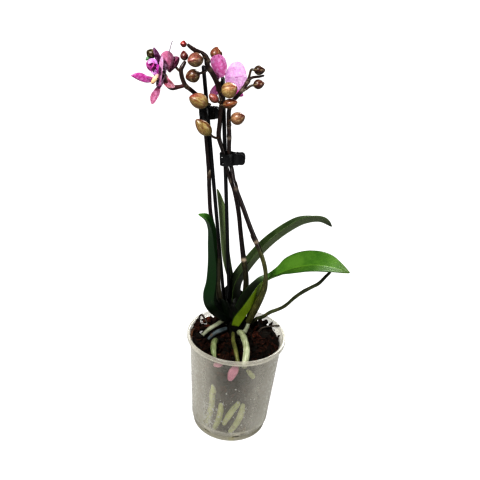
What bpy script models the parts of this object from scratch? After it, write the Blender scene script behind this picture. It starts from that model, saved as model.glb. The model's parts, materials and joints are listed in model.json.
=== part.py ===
"""A small Phalaenopsis orchid growing in a clear plastic nursery pot.

Two black support rods stand in the bark behind the crown. Three flower
spikes are tied to them with two sprung claw clips. Every leaf, root, spike,
bud, tepal and clip piece is an object of its own.

Units: every dimension below is in millimetres and is multiplied by MM.
Frame: origin at the centre of the pot's base, +Z up, -Y is the front.
"""

import math

import bmesh
import bpy
from mathutils import Matrix, Vector

MM = 0.001
GAP = 0.35                   # clearance between pieces that touch

# ---- pot -------------------------------------------------------------------
POT_HEIGHT = 96.0
RIM_R = 45.0                 # outer radius of the rolled lip
RIM_DROP = 4.2               # height of the lip
MOUTH_R = 42.9               # inner radius of the mouth
WALL = 1.0
WALL_TOP_R = 42.1            # outer radius of the wall just under the lip
WALL_LOW_R = 36.6            # outer radius of the wall at the foot step
FOOT_R = 35.0
FOOT_H = 6.6
FLOOR_PAD_R = 12.0           # flat pad in the middle of the base
FLOOR_RISE = 1.6             # the ring round the pad stands clear of the bench
DRAIN_R = 2.6
DRAIN_CIRCLE_R = 20.0
DRAIN_COUNT = 6
SLOT_COUNT = 8               # side slots at the foot step
SLOT_W, SLOT_H, SLOT_LOW = 6.5, 3.7, 4.15
POT_SIDES = 48

# ---- potting bark ----------------------------------------------------------
BARK_BOTTOM = 3.6
BARK_WALL_GAP = 1.1          # clearance of the bark to the wall
BARK_TOP = 87.0
BARK_SIDES = 36

# ---- support rods ----------------------------------------------------------
STAKE_R = 1.6
STAKE_LEFT = ((-9.2, 26, 78), (-45.3, 26, 325.5))
STAKE_RIGHT = ((-5.6, 21, 78), (-29.0, 21, 318.5))

# ---- crown, the short upright stem that carries the leaves and roots --------
CROWN = ((-0.5, 16, 82, 6.4), (-0.5, 16, 90, 7.0), (-1.0, 16, 98, 6.4),
         (-2.5, 16.5, 107, 5.6), (-3.6, 16.6, 115, 4.8), (-4.6, 17, 121, 3.4))

# ---- flower spikes: x, y, z, radius along each route -----------------------
SPIKE_LEFT = (
    (-12.3, 19.5, 104, 2.3), (-16, 18.6, 112, 2.8), (-21, 17.2, 132.5, 2.9),
    (-22.5, 16.8, 159, 2.3), (-23, 17, 164.5, 2.3), (-26.6, 19.4, 182.5, 1.8),
    (-31.9, 22, 202, 1.7), (-34.3, 23, 221.5, 1.7), (-36.0, 23.5, 241, 1.7),
    (-39.4, 23.7, 266, 1.65), (-42.4, 24, 284, 1.6), (-44.2, 23.8, 294, 1.6),
    (-47, 19, 301.5, 1.6), (-52.5, 9.5, 308, 1.6), (-56, 4, 311.5, 1.6),
    (-58.5, 1, 317.5, 1.6), (-59.5, 0, 323.5, 1.6), (-58, 0.5, 327, 1.5),
    (-57, 1, 329, 1.2))
SPIKE_INNER = (
    (3.6, 17.8, 104, 2.7), (4.8, 17, 114, 2.9), (5, 16, 129.5, 2.7),
    (4.2, 13.8, 146, 2.4), (1, 11, 164, 2.4), (0, 10.6, 168.5, 2.2),
    (-4, 10.4, 190, 1.9), (-7.6, 11.8, 210, 1.9), (-12.2, 14.4, 226.5, 1.9),
    (-17.2, 16.4, 238, 1.8), (-21.7, 17.3, 248.5, 1.7), (-23.5, 17.3, 256, 1.6),
    (-25.3, 17.3, 261.5, 1.65), (-28.9, 17, 271.5, 1.85), (-28.8, 16.8, 282, 1.85), (-28.5, 16.7, 292, 1.8),
    (-28.4, 16.8, 301, 1.8), (-30.7, 17, 308.5, 1.9), (-34, 15, 316.5, 2.0),
    (-37.5, 12, 322.5, 2.0), (-40.5, 9, 327, 2.0), (-41, 6, 332, 2.0),
    (-43.5, 4, 335.5, 1.9), (-48.5, 2, 337.5, 1.8), (-53, 1, 340, 1.5),
    (-54.8, 0.4, 341.4, 1.2))
SPIKE_OUTER = (
    (10, 10.5, 103, 3.2), (12, 8.5, 111, 3.6), (16.6, 4, 127, 3.4),
    (20.6, 0, 143.5, 2.7), (20.8, -3.2, 157, 1.9), (18.8, -3.4, 168, 1.8),
    (14.2, -2, 179.5, 1.9), (10.8, -0.6, 186, 2.1), (3, 3, 201, 1.9),
    (-3.6, 6, 215, 1.9), (-9.5, 8.4, 227, 1.9), (-13.9, 12.6, 237, 1.8),
    (-15.9, 15.5, 244.5, 1.7), (-17.9, 17.7, 250, 1.7), (-19.2, 19, 256, 1.7),
    (-19.9, 19.2, 262, 1.75), (-20.6, 19.2, 273.5, 1.75),
    (-21.7, 19.4, 283.5, 1.75), (-22.1, 20.5, 293, 1.7), (-19.5, 22, 300.5, 1.6),
    (-16.5, 22, 304.5, 1.6), (-12.5, 22, 310, 1.6), (-9.5, 22, 315.5, 1.5),
    (-8, 22, 318, 1.3), (-5.5, 22.5, 319.8, 1.0), (0, 24, 320.8, 0.9),
    (3, 25, 321.6, 0.8))

# ---- buds: base, tip, greatest diameter, and where the stalk leaves its spike
# name: (spike, stalk root, base, tip, diameter)
BUDS = {
    "bud_terminal_red": ("inner", None, (-55.9, -0.1, 341.9), (-60.5, -2, 342), 4.8),
    "bud_top_left": ("left", None, (-57, 1.4, 330.2), (-58.5, 3.2, 337), 6.0),
    "bud_top_centre": ("inner", (-41, 6.5, 331), (-43.9, 1.2, 333.2), (-53.7, -7.4, 330.4), 10.6),
    "bud_centre": ("inner", (-39.5, 10, 325.5), (-46, 6, 321.3), (-56, 2, 317.6), 10.2),
    "bud_top_right": ("inner", (-39, 10.5, 325), (-36.2, 30.2, 330.2), (-35.8, 31, 339.8), 9.8),
    "bud_low_left": ("inner", (-28.5, 16.6, 302), (-30.6, 11.2, 300.6), (-38.2, 8.8, 305.8), 6.6),
    "bud_low_right": ("inner", (-28, 16.5, 297), (-27.0, 10.4, 298.4), (-15.6, 7.6, 302.2), 7.6),
    "bud_cream_right": ("inner", (-28, 16.7, 304), (-27.8, 8.2, 308.6), (-16.8, 2.4, 314.0), 12.4),
    "bud_cream_left": ("left", (-44.6, 23.2, 295.5), (-38.8, 9.5, 298.5), (-52.5, 1.5, 303.5), 12.2),
    "bud_hanging": ("inner", (-28.6, 16, 271), (-35, 9, 274.5), (-47, 4, 286.5), 10.5),
    "bud_round_right": ("outer", (-21.6, 18.6, 280.5), (-19.6, 14.5, 286.5), (-9, 9.5, 291.5), 10.2),
    "bud_fork_upper": ("outer", (-9.5, 22, 316), (-5, 20, 325.8), (3.8, 18, 326.6), 7.4),
    "bud_fork_lower": ("outer", (-13, 22, 309), (-4.5, 21, 314), (4.2, 21, 316.6), 7.6),
    "bud_far_left": ("left", (-59.5, 0, 323), (-80.6, 10, 330.6), (-87, 8, 334), 7.6),
}

STALK_VIA = {"bud_far_left": ((-62.2, 5, 322.8), (-66, 11.5, 324.4), (-72.5, 12.5, 327)),
             "bud_top_right": ((-41.6, 16, 326.5), (-42.4, 24, 329))}

# ---- leaves: keel route, half width, fold and roll in degrees, thickness ----
LEAVES = {
    "leaf_front_right": dict(
        route=((0.7, 7.0, 99), (4.9, 5.6, 109), (9.9, 5.4, 120.5), (14.9, 7.2, 133),
               (19.9, 9, 145), (25.5, 9, 150.5), (33.5, 7, 156.5), (41.5, 4, 163),
               (57.5, -2, 171.5), (73.5, -8, 174.5), (90, -12, 173)),
        width=(7.0, 10.6, 12.4, 11.4, 7.0, 4.9, 8.4, 13.0, 15.6, 13.4, 2.2),
        fold=(68, 66, 62, 58, 52, 42, 31, 24, 18, 16, 14),
        roll=(2, 8, 18, 21, 14, 8, 5, 6, 7, 6, 4), thick=1.7),
    "leaf_rear_right": dict(
        route=((1.5, 21.5, 101), (1.5, 22, 112), (-0.5, 22.5, 124), (0, 23, 137), (7, 24.5, 151.5),
               (17, 27.5, 166), (27.5, 31, 177.5), (40.5, 35, 188),
               (53.5, 40, 194.5), (67.5, 44, 196), (79.5, 48, 190)),
        width=(7.5, 10.0, 11.0, 10.8, 10.8, 11.5, 12.6, 13.4, 12.8, 9.2, 1.4),
        fold=(55, 55, 52, 48, 42, 36, 30, 26, 22, 20, 18),
        roll=(10, 14, 16, 13, 7, 0, -8, -14, -18, -20, -20), thick=1.6),
    "leaf_left": dict(
        route=((-9.5, 11.5, 100), (-17, 9.5, 104.5), (-25, 7.5, 111), (-30.5, 6.2, 120), (-32, 6, 131),
               (-30.0, 6, 144), (-29.6, 6.2, 162), (-30.6, 6.2, 180),
               (-31.4, 5.6, 194), (-34.6, 4.4, 203), (-40.8, 3, 207.8)),
        width=(7.0, 9.5, 11.0, 11.5, 11.6, 10.8, 10.8, 10.4, 8.6, 6.6, 1.6),
        fold=(62, 62, 62, 60, 56, 48, 40, 34, 28, 24, 20),
        roll=(0, 0, 0, 0, 0, 0, 0, 0, 0, 0, 0), thick=1.6),
    "leaf_rear_tall": dict(
        route=((-2.5, 27.5, 104), (-5.5, 30.5, 115), (-10.5, 34.5, 130), (-16, 37.5, 145),
               (-19.5, 38.5, 160), (-22.3, 39, 181), (-25.2, 39.5, 202), (-28.5, 40, 219)),
        width=(7.0, 8.6, 9.4, 9.0, 8.8, 8.4, 7.4, 1.6),
        fold=(40, 36, 32, 28, 26, 24, 22, 18),
        roll=(0, 0, 0, 0, 0, 0, 0, 0), thick=1.5),
}

# ---- roots above the bark: x, y, z, radius ---------------------------------
ROOTS = {
    "root_front_thick": ((2.6, 4.6, 93.5, 2.6), (4.5, -1.5, 97, 2.9), (7, -10, 97.5, 3.1),
                         (9.5, -20, 96, 3.1), (10, -28, 92, 3.0), (9, -33.5, 85, 2.8)),
    "root_front_olive": ((-3.4, 4.6, 92, 1.6), (-3, -1, 95, 1.9), (-2.2, -12, 95.2, 2.0),
                         (0.5, -24, 93, 2.0), (3, -32, 87.5, 1.9), (3.4, -35, 81, 1.7)),
    "root_front_left": ((-17.4, -3.5, 87, 2.1), (-18.2, -7.5, 91, 2.5), (-19.3, -13, 92.6, 2.7),
                        (-19.2, -21, 90.5, 2.6), (-17.6, -27, 84, 2.3)),
    "root_rear_left": ((-9.6, 18, 94, 1.7), (-13, 16, 97.5, 2.0), (-19.5, 8.5, 97.4, 2.1),
                       (-26, 4.5, 94, 2.0), (-31.5, 3.5, 87.5, 1.7)),
    "root_aerial": ((8.2, 16.5, 94.5, 1.5), (13.5, 12.5, 101, 1.5), (17.4, 11.2, 106, 1.5),
                    (22.5, 9.2, 109.5, 1.55), (29, 7.2, 116.5, 1.5), (40.5, 5, 125, 1.45),
                    (48.5, 3, 136, 1.5), (55.5, 2, 143.5, 1.5), (62.5, 1, 149.5, 1.45),
                    (68, 0, 154.5, 1.4), (73.5, 0, 162.5, 1.35), (76, 0, 166, 1.1)),
}
# a dead root that loops over the bark, and a bit of twig in it
ROOT_ARCH = ((-34.8, 17.2, 87, 0.7), (-36.0, 17.8, 94.0, 0.75), (-36.2, 18.4, 98.4, 0.8),
             (-33.9, 18.5, 100.8, 0.8), (-31.3, 17.5, 97.3, 0.8), (-28.5, 15.5, 94.4, 0.75), (-25.4, 12.8, 88, 0.7))
TWIG = ((21, 16.5, 89, 0.9), (24, 16.8, 92.8, 0.9), (31, 17, 95.3, 0.85), (40, 16.5, 97.4, 0.8))

# ---- roots pressed against the inside of the wall: degrees round, height ----
WALL_ROOTS = {
    "root_wall_long": ((-119, 59), (-117.5, 54), (-119, 48), (-118.5, 41), (-121.5, 28), (-127, 11)),
    "root_wall_second": ((-104, 40.5), (-104, 32), (-107, 21), (-113, 9.5)),
    "root_wall_third": ((-78.5, 44), (-85, 37), (-91.5, 28), (-97, 19)),
    "root_wall_fourth": ((-71, 41), (-72, 32), (-77, 20.5), (-86, 10)),
}
WALL_ROOT_R = 2.5

# ---- petals that fell in between the bark and the wall ----------------------
FALLEN = {"fallen_petal_left": (-110, 87.0, 4.0, 6.5), "fallen_petal_front": (-90.5, 83.0, 4.2, 14.5)}

# ---- flowers: tepal base, middle, tip, half width, direction of its face ----
FLOWER_LEFT = {
    "flower_left_sepal_dorsal": ((-74.9, -1.0, 323.8), (-76.6, -1.4, 331.3), (-79.8, -2.4, 337.8), 2.6, (-0.35, -0.85, -0.3), 0.5),
    "flower_left_petal_upper": ((-69.4, -0.4, 322.6), (-69.5, -0.2, 328.4), (-70.1, 0.2, 336.2), 5.4, (-0.35, 0.9, -0.1), 1.2),
    "flower_left_petal_rear": ((-69.0, 3.6, 320.6), (-65.9, 5.2, 326.9), (-62.1, 6.2, 331.7), 4.0, (-0.6, 0.7, -0.3), 1.0),
    "flower_left_petal_front": ((-77.2, -4.4, 315.0), (-84.6, -7.8, 313.6), (-94.4, -12.0, 317.6), 4.4, (-0.2, 0.6, 0.8), 2.0),
    "flower_left_sepal_lower": ((-74.8, -1.8, 310.6), (-77.2, -2.5, 304.1), (-80.5, -3.6, 296.9), 3.6, (-0.45, -0.85, 0.25), 0.8),
    "flower_left_lip": ((-79.6, -4.6, 320.6), (-80.6, -5.4, 324.0), (-78.8, -6.6, 328.4), 4.2, (-0.8, -0.6, -0.1), 1.4),
}
FLOWER_RIGHT = {
    "flower_right_sepal_dorsal": ((-29.7, 25.6, 317.4), (-32.6, 25.0, 325.4), (-35.8, 23.2, 334.0), 6.0, (0.1, 0.95, -0.2), 1.0),
    "flower_right_petal_left": ((-32.6, 27.6, 315.4), (-37.0, 32.0, 320.0), (-38.6, 38.0, 326.0), 6.0, (0.5, 0.8, 0.2), 1.0),
    "flower_right_petal_right": ((-27.4, 28.2, 316.9), (-19.5, 29.8, 317.9), (-10.4, 29.4, 320.0), 10.8, (-0.05, 0.97, 0.1), 0.3),
    "flower_right_sepal_lower_left": ((-32.7, 25.6, 311.2), (-34.8, 25.0, 306.6), (-37.3, 23.8, 301.6), 3.5, (0.1, 0.95, 0.1), 0.9),
    "flower_right_sepal_lower_right": ((-26.7, 25.4, 311.0), (-19.6, 27.0, 306.6), (-11.8, 28.0, 304.4), 3.0, (0.0, 0.97, 0.1), 0.9),
    "flower_right_lip": ((-31.0, 28.8, 311.3), (-31.0, 34.0, 308.2), (-30.5, 39.0, 309.4), 3.2, (0.1, 0.3, 0.9), 1.4),
}
TEPAL_THICK = 0.8

# ---- sprung claw clips: centre, bore radius, lean of the rod ---------------
CLIP_H = 10.0
CLIP_WALL = 1.1
# centre of the claws, bore radius, lever length
CLIPS = {"clip_left": ((-41.6, 25.1, 288.2), 4.0, 5.8), "clip_right": ((-20.7, 18.7, 253.4), 5.2, 7.4)}
PIN_R = 0.65
KNUCKLE_R = 1.55
LEVER_SPREAD = 2.6


# ============================================================================
def clear_scene():
    for obj in list(bpy.data.objects):
        bpy.data.objects.remove(obj, do_unlink=True)


_materials = {}


def material(name, colour, roughness=0.5, metallic=0.0, alpha=1.0):
    """One Principled material for each sub-part."""
    if name not in _materials:
        mat = bpy.data.materials.new(name)
        mat.use_nodes = True
        shader = mat.node_tree.nodes["Principled BSDF"]
        shader.inputs["Base Color"].default_value = (*colour, 1.0)
        shader.inputs["Roughness"].default_value = roughness
        shader.inputs["Metallic"].default_value = metallic
        shader.inputs["Alpha"].default_value = alpha
        mat.diffuse_color = (*colour, alpha)
        _materials[name] = mat
    return _materials[name]


def add_object(name, verts, faces, mat, sharp=50, anchor=(0, 0, 0)):
    """Makes an object from points in millimetres, with its normals outward.

    anchor is the point, in millimetres, that becomes the object's origin.
    """
    mesh = bpy.data.meshes.new(name)
    mesh.from_pydata([tuple(v) for v in verts], [], faces)
    tidy(mesh)
    obj = bpy.data.objects.new(name, mesh)
    obj["anchor"] = tuple(anchor)
    obj["sharp"] = sharp
    if mat:
        obj.data.materials.append(mat)
    bpy.context.scene.collection.objects.link(obj)
    return obj


def tidy(mesh):
    bm = bmesh.new()
    bm.from_mesh(mesh)
    bmesh.ops.remove_doubles(bm, verts=bm.verts, dist=1e-5)
    bmesh.ops.recalc_face_normals(bm, faces=bm.faces)
    bm.to_mesh(mesh)
    bm.free()


def boolean(obj, others, operation):
    """Applies an exact Boolean with each helper, then deletes the helpers."""
    for other in others:
        other.hide_render = True
        other.display_type = "WIRE"
        mod = obj.modifiers.new(operation, "BOOLEAN")
        mod.operation = operation
        mod.solver = "EXACT"
        mod.object = other
    depsgraph = bpy.context.evaluated_depsgraph_get()
    mesh = bpy.data.meshes.new_from_object(obj.evaluated_get(depsgraph))
    mats = list(obj.data.materials)
    obj.modifiers.clear()
    old = obj.data
    obj.data = mesh
    bpy.data.meshes.remove(old)
    mesh.materials.clear()
    for mat in mats:
        mesh.materials.append(mat)
    for other in others:
        bpy.data.objects.remove(other, do_unlink=True)
    mesh.name = obj.name
    return obj


def finish_objects():
    """Shades each piece, moves its origin to its anchor and scales it to metres."""
    for obj in bpy.context.scene.collection.objects:
        if obj.type != "MESH":
            continue
        mesh = obj.data
        anchor = Vector(obj["anchor"])
        mesh.transform(Matrix.Scale(MM, 4) @ Matrix.Translation(-anchor))
        obj.location = anchor * MM
        mesh.shade_smooth()
        mesh.set_sharp_from_angle(angle=math.radians(obj["sharp"]))
        del obj["anchor"], obj["sharp"]
        mesh.name = obj.name


def catmull(points, step):
    """Smooth route through points of any length, about step mm apart."""
    pts = [tuple(map(float, p)) for p in points]
    dim = len(pts[0])
    ext = [tuple(2 * a - b for a, b in zip(pts[0], pts[1]))] + pts + \
          [tuple(2 * a - b for a, b in zip(pts[-1], pts[-2]))]
    out = []
    for i in range(1, len(ext) - 2):
        p0, p1, p2, p3 = ext[i - 1:i + 3]
        n = max(1, round(math.dist(p1[:3], p2[:3]) / step))
        for k in range(n):
            t = k / n
            out.append(tuple(0.5 * (2 * p1[d] + (p2[d] - p0[d]) * t
                       + (2 * p0[d] - 5 * p1[d] + 4 * p2[d] - p3[d]) * t * t
                       + (3 * p1[d] - p0[d] - 3 * p2[d] + p3[d]) * t ** 3) for d in range(dim)))
    out.append(pts[-1])
    return out


def tangents(path):
    out = []
    for i in range(len(path)):
        a, b = path[max(i - 1, 0)], path[min(i + 1, len(path) - 1)]
        out.append((Vector(b[:3]) - Vector(a[:3])).normalized())
    return out


def tube_mesh(path, sides, grow=0.0, round_end=True):
    """Rings along a path of (x, y, z, r), turned without twist."""
    tans = tangents(path)
    ref = Vector((0, -1, 0))
    if abs(tans[0].dot(ref)) > 0.9:
        ref = Vector((1, 0, 0))
    verts, faces = [], []
    side = (ref - ref.dot(tans[0]) * tans[0]).normalized()
    stations = [(Vector(p[:3]), t, p[3] + grow) for p, t in zip(path, tans)]
    if round_end:
        p, t, r = stations[-1]
        stations[-1] = (p - t * r * 0.7, t, r)
        stations += [(p - t * r * 0.22, t, r * 0.72)]
    for p, t, r in stations:
        side = (side - side.dot(t) * t).normalized()
        up = t.cross(side)
        for k in range(sides):
            a = 2 * math.pi * k / sides
            verts.append(p + side * (r * math.cos(a)) + up * (r * math.sin(a)))
    for i in range(len(stations) - 1):
        for k in range(sides):
            a, b = i * sides + k, i * sides + (k + 1) % sides
            faces.append((a, b, b + sides, a + sides))
    first, last = len(verts), len(verts) + 1
    verts.append(stations[0][0] - stations[0][1] * (grow if grow else 0))
    end = stations[-1]
    verts.append(end[0] + end[1] * ((end[2] * 0.3 if round_end else 0) + grow))
    top = (len(stations) - 1) * sides
    for k in range(sides):
        faces.append((first, (k + 1) % sides, k))
        faces.append((last, top + k, top + (k + 1) % sides))
    return verts, faces


def tube(name, route, mat, sides=8, step=8.0, grow=0.0, round_end=True):
    path = catmull(route, step)
    verts, faces = tube_mesh(path, sides, grow, round_end)
    return add_object(name, verts, faces, mat, anchor=path[0][:3])


def lathe(name, profile, sides, mat, sharp=35):
    """Turns a profile of (radius, z), whose ends lie on the axis."""
    verts, faces, rings = [], [], []
    for r, z in profile:
        if r < 1e-6:
            rings.append([len(verts)])
            verts.append((0, 0, z))
        else:
            rings.append(list(range(len(verts), len(verts) + sides)))
            for k in range(sides):
                a = 2 * math.pi * k / sides
                verts.append((r * math.cos(a), r * math.sin(a), z))
    for low, high in zip(rings, rings[1:]):
        for k in range(sides):
            j = (k + 1) % sides
            if len(low) == 1:
                faces.append((low[0], high[k], high[j]))
            elif len(high) == 1:
                faces.append((low[k], low[j], high[0]))
            else:
                faces.append((low[k], low[j], high[j], high[k]))
    return add_object(name, verts, faces, mat, sharp)


def ovoid(name, base, tip, diameter, mat, sides=10, rings=7):
    """A bud: fuller near its base, drawn in to a blunt point."""
    base, tip = Vector(base), Vector(tip)
    axis = tip - base
    length = axis.length
    path = []
    for i in range(1, rings + 1):
        s = i / (rings + 1)
        w = math.sin(math.pi * s ** 0.86) ** 0.62
        path.append((*(base + axis * s), w * diameter / 2))
    t = axis.normalized()
    ref = Vector((0, 0, 1)) if abs(t.z) < 0.9 else Vector((1, 0, 0))
    side = (ref - ref.dot(t) * t).normalized()
    up = t.cross(side)
    verts, faces = [base], []
    for x, y, z, r in path:
        for k in range(sides):
            a = 2 * math.pi * k / sides
            verts.append(Vector((x, y, z)) + side * (r * math.cos(a)) + up * (r * math.sin(a)))
    verts.append(tip)
    for k in range(sides):
        j = (k + 1) % sides
        faces.append((0, 1 + j, 1 + k))
        for i in range(rings - 1):
            a, b = 1 + i * sides + k, 1 + i * sides + j
            faces.append((a, b, b + sides, a + sides))
        faces.append((1 + (rings - 1) * sides + k, 1 + (rings - 1) * sides + j, len(verts) - 1))
    return add_object(name, verts, faces, mat, anchor=base)


def blade(name, rows, mat, across=7, grow=0.0):
    """A thick folded sheet. rows: (point, tangent, side, half width, fold deg, thickness)."""
    verts, faces = [], []
    for p, t, side, half, fold, thick in rows:
        side = (side - side.dot(t) * t).normalized()
        normal = side.cross(t)
        a = math.radians(fold)
        half = half + grow
        line = []
        for k in range(across):
            v = -1 + 2 * k / (across - 1)
            rise = (math.sqrt(v * v + 0.03) - math.sqrt(0.03)) / (math.sqrt(1.03) - math.sqrt(0.03))
            line.append((half * v * math.cos(a), half * rise * math.sin(a), v))
        top, bottom = [], []
        for k, (x, y, v) in enumerate(line):
            x0, y0, _ = line[max(k - 1, 0)]
            x1, y1, _ = line[min(k + 1, across - 1)]
            d = math.hypot(x1 - x0, y1 - y0)
            nx, ny = -(y1 - y0) / d, (x1 - x0) / d
            h = 0.5 * thick * (1 - 0.62 * v * v) + grow
            top.append(p + side * (x + nx * h) + normal * (y + ny * h))
            bottom.append(p + side * (x - nx * h) + normal * (y - ny * h))
        verts += top + bottom[::-1]
    n = 2 * across
    for i in range(len(rows) - 1):
        for k in range(n):
            a, b = i * n + k, i * n + (k + 1) % n
            faces.append((a, b, b + n, a + n))
    for off in (0, (len(rows) - 1) * n):
        for k in range(across - 1):
            faces.append((off + k, off + k + 1, off + n - 2 - k, off + n - 1 - k))
    return add_object(name, verts, faces, mat, anchor=rows[0][0])


def leaf(name, route, width, fold, roll, thick, side, mat, grow=0.0, step=9.0):
    joined = [(*p, w, f, r) for p, w, f, r in zip(route, width, fold, roll)]
    path = catmull(joined, step)
    tans = tangents(path)
    rows = []
    for (x, y, z, w, f, r), t in zip(path, tans):
        s = Vector(side)
        s = (s - s.dot(t) * t).normalized()
        s = Matrix.Rotation(math.radians(r), 3, t) @ s
        rows.append((Vector((x, y, z)), t, s, max(w, 0.8), f, thick * (0.55 + 0.45 * min(1, w / 8))))
    return blade(name, rows, mat, across=7, grow=grow)


def tepal(name, base, mid, tip, half, face, cup, mat):
    """A petal or sepal: narrow claw, broad middle, rounded tip, cupped."""
    path = catmull((base, mid, tip), 3.2)
    tans = tangents(path)
    rows = []
    count = len(path) - 1
    for i, (p, t) in enumerate(zip(path, tans)):
        u = i / count
        w = half * (0.30 + 0.70 * math.sin(math.pi * min(1, 0.06 + u * 0.86)) ** 0.75)
        if u > 0.93:
            w = half * 0.42
        n = Vector(face)
        n = (n - n.dot(t) * t).normalized()
        side = t.cross(n)
        rows.append((Vector(p), t, side, w, 10 + 12 * cup, TEPAL_THICK))
    return blade(name, rows, mat, across=5)


def ribbon(name, outline, half_w, low, high, mat):
    """Extrudes a thickened polyline between two heights."""
    left, right = [], []
    for i, (u, v) in enumerate(outline):
        a = outline[max(i - 1, 0)]
        b = outline[min(i + 1, len(outline) - 1)]
        d = math.hypot(b[0] - a[0], b[1] - a[1])
        nx, ny = -(b[1] - a[1]) / d, (b[0] - a[0]) / d
        left.append((u + nx * half_w, v + ny * half_w))
        right.append((u - nx * half_w, v - ny * half_w))
    return prism(name, left + right[::-1], low, high, mat)


def prism(name, outline, low, high, mat):
    n = len(outline)
    verts = [(u, v, low) for u, v in outline] + [(u, v, high) for u, v in outline]
    faces = [tuple(range(n - 1, -1, -1)), tuple(range(n, 2 * n))]
    faces += [(k, (k + 1) % n, n + (k + 1) % n, n + k) for k in range(n)]
    return add_object(name, verts, faces, mat, 30)


def ring_outline(cu, cv, r, sides):
    return [(cu + r * math.cos(2 * math.pi * k / sides), cv + r * math.sin(2 * math.pi * k / sides))
            for k in range(sides)]


# ============================================================================
def wall_inner(z):
    """Inner radius of the pot wall at a height."""
    low, high = WALL_LOW_R - WALL, WALL_TOP_R - WALL
    top = POT_HEIGHT - RIM_DROP
    return low + (high - low) * (z - FOOT_H) / (top - FOOT_H)


def on_wall(degrees, z, inset):
    r = wall_inner(max(z, FOOT_H)) - inset
    if z < FOOT_H:
        r = FOOT_R - WALL - inset
    a = math.radians(degrees)
    return (r * math.cos(a), r * math.sin(a), z)


def build_pot():
    lip = POT_HEIGHT - RIM_DROP
    inner_foot = FOOT_R - WALL
    profile = [
        (0, 0), (FLOOR_PAD_R, 0), (FLOOR_PAD_R + 1.2, FLOOR_RISE), (28, FLOOR_RISE),
        (29.2, 0), (FOOT_R - 0.9, 0), (FOOT_R - 0.25, 0.3), (FOOT_R, 1.0),
        (FOOT_R + 0.3, FOOT_H - 0.8), (WALL_LOW_R - 0.3, FOOT_H), (WALL_LOW_R, FOOT_H + 1.0),
        (WALL_TOP_R, lip - 0.5), (WALL_TOP_R + 0.6, lip), (RIM_R - 0.5, lip + 0.05), (RIM_R, lip + 0.6),
        (RIM_R, POT_HEIGHT - 0.7), (RIM_R - 0.6, POT_HEIGHT), (MOUTH_R + 0.3, POT_HEIGHT),
        (MOUTH_R - 0.2, POT_HEIGHT - 0.6), (MOUTH_R - 0.5, lip + 0.9), (WALL_TOP_R - WALL, lip - 0.9),
        (WALL_LOW_R - WALL, FOOT_H + 2.0), (inner_foot - 0.4, FOOT_H + 0.2), (inner_foot - 0.7, 2.0),
        (inner_foot - 1.6, 1.2), (30.4, 1.2), (29.0, FLOOR_RISE + 1.2), (FLOOR_PAD_R - 0.2, FLOOR_RISE + 1.2),
        (FLOOR_PAD_R - 1.2, 1.2), (0, 1.2)]
    pot = lathe("pot", profile, POT_SIDES, material("clear_plastic", (0.78, 0.77, 0.74), 0.25, 0.0, 0.45))
    cutters = []
    for k in range(DRAIN_COUNT):
        a = 2 * math.pi * (k + 0.43) / DRAIN_COUNT
        u, v = DRAIN_CIRCLE_R * math.cos(a), DRAIN_CIRCLE_R * math.sin(a)
        cutters.append(prism(f"cut_drain_{k}", ring_outline(u, v, DRAIN_R, 12), -2, 6, None))
    for k in range(SLOT_COUNT):
        a = 2 * math.pi * (k + 0.28) / SLOT_COUNT
        outline = [(30.5, -SLOT_W / 2), (40, -SLOT_W / 2), (40, SLOT_W / 2), (30.5, SLOT_W / 2)]
        cutter = prism(f"cut_slot_{k}", outline, SLOT_LOW, SLOT_LOW + SLOT_H, None)
        cutter.data.transform(Matrix.Rotation(a, 4, "Z"))
        cutters.append(cutter)
    return boolean(pot, cutters, "DIFFERENCE")


def bark_height(x, y):
    """Lumpy top of the bark, heaped up a little to the rear and left."""
    lump = 0.9 * math.sin(0.31 * x + 0.7) * math.cos(0.27 * y - 0.4)
    lump += 0.6 * math.sin(0.53 * x - 0.47 * y + 1.1)
    return BARK_TOP + 0.035 * y - 0.02 * x + lump


def build_bark(cutters):
    rings = [8.0, 16.0, 24.0, 31.0]
    edge = wall_inner(BARK_TOP) - BARK_WALL_GAP
    verts, faces = [(0, 0, bark_height(0, 0))], []
    shells = []
    for r in rings + [edge]:
        row = []
        for k in range(BARK_SIDES):
            a = 2 * math.pi * k / BARK_SIDES
            x, y = r * math.cos(a), r * math.sin(a)
            row.append(len(verts))
            verts.append((x, y, bark_height(x, y)))
        shells.append(row)
    for z in (60.0, 35.0, FOOT_H + 6.0, BARK_BOTTOM + 1.5):
        row = []
        r = wall_inner(z) - BARK_WALL_GAP if z > FOOT_H else FOOT_R - WALL - 1.6
        for k in range(BARK_SIDES):
            a = 2 * math.pi * k / BARK_SIDES
            row.append(len(verts))
            verts.append((r * math.cos(a), r * math.sin(a), z))
        shells.append(row)
    row = []
    for k in range(BARK_SIDES):
        a = 2 * math.pi * k / BARK_SIDES
        row.append(len(verts))
        verts.append((30.5 * math.cos(a), 30.5 * math.sin(a), BARK_BOTTOM))
    shells.append(row)
    for upper, lower in zip(shells, shells[1:]):
        for k in range(BARK_SIDES):
            j = (k + 1) % BARK_SIDES
            faces.append((upper[k], lower[k], lower[j], upper[j]))
    for k in range(BARK_SIDES):
        faces.append((0, shells[0][k], shells[0][(k + 1) % BARK_SIDES]))
    faces.append(tuple(reversed(shells[-1])))
    bark = add_object("bark_medium", verts, faces, material("bark", (0.07, 0.035, 0.02), 0.9))
    return boolean(bark, cutters, "DIFFERENCE")


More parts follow.
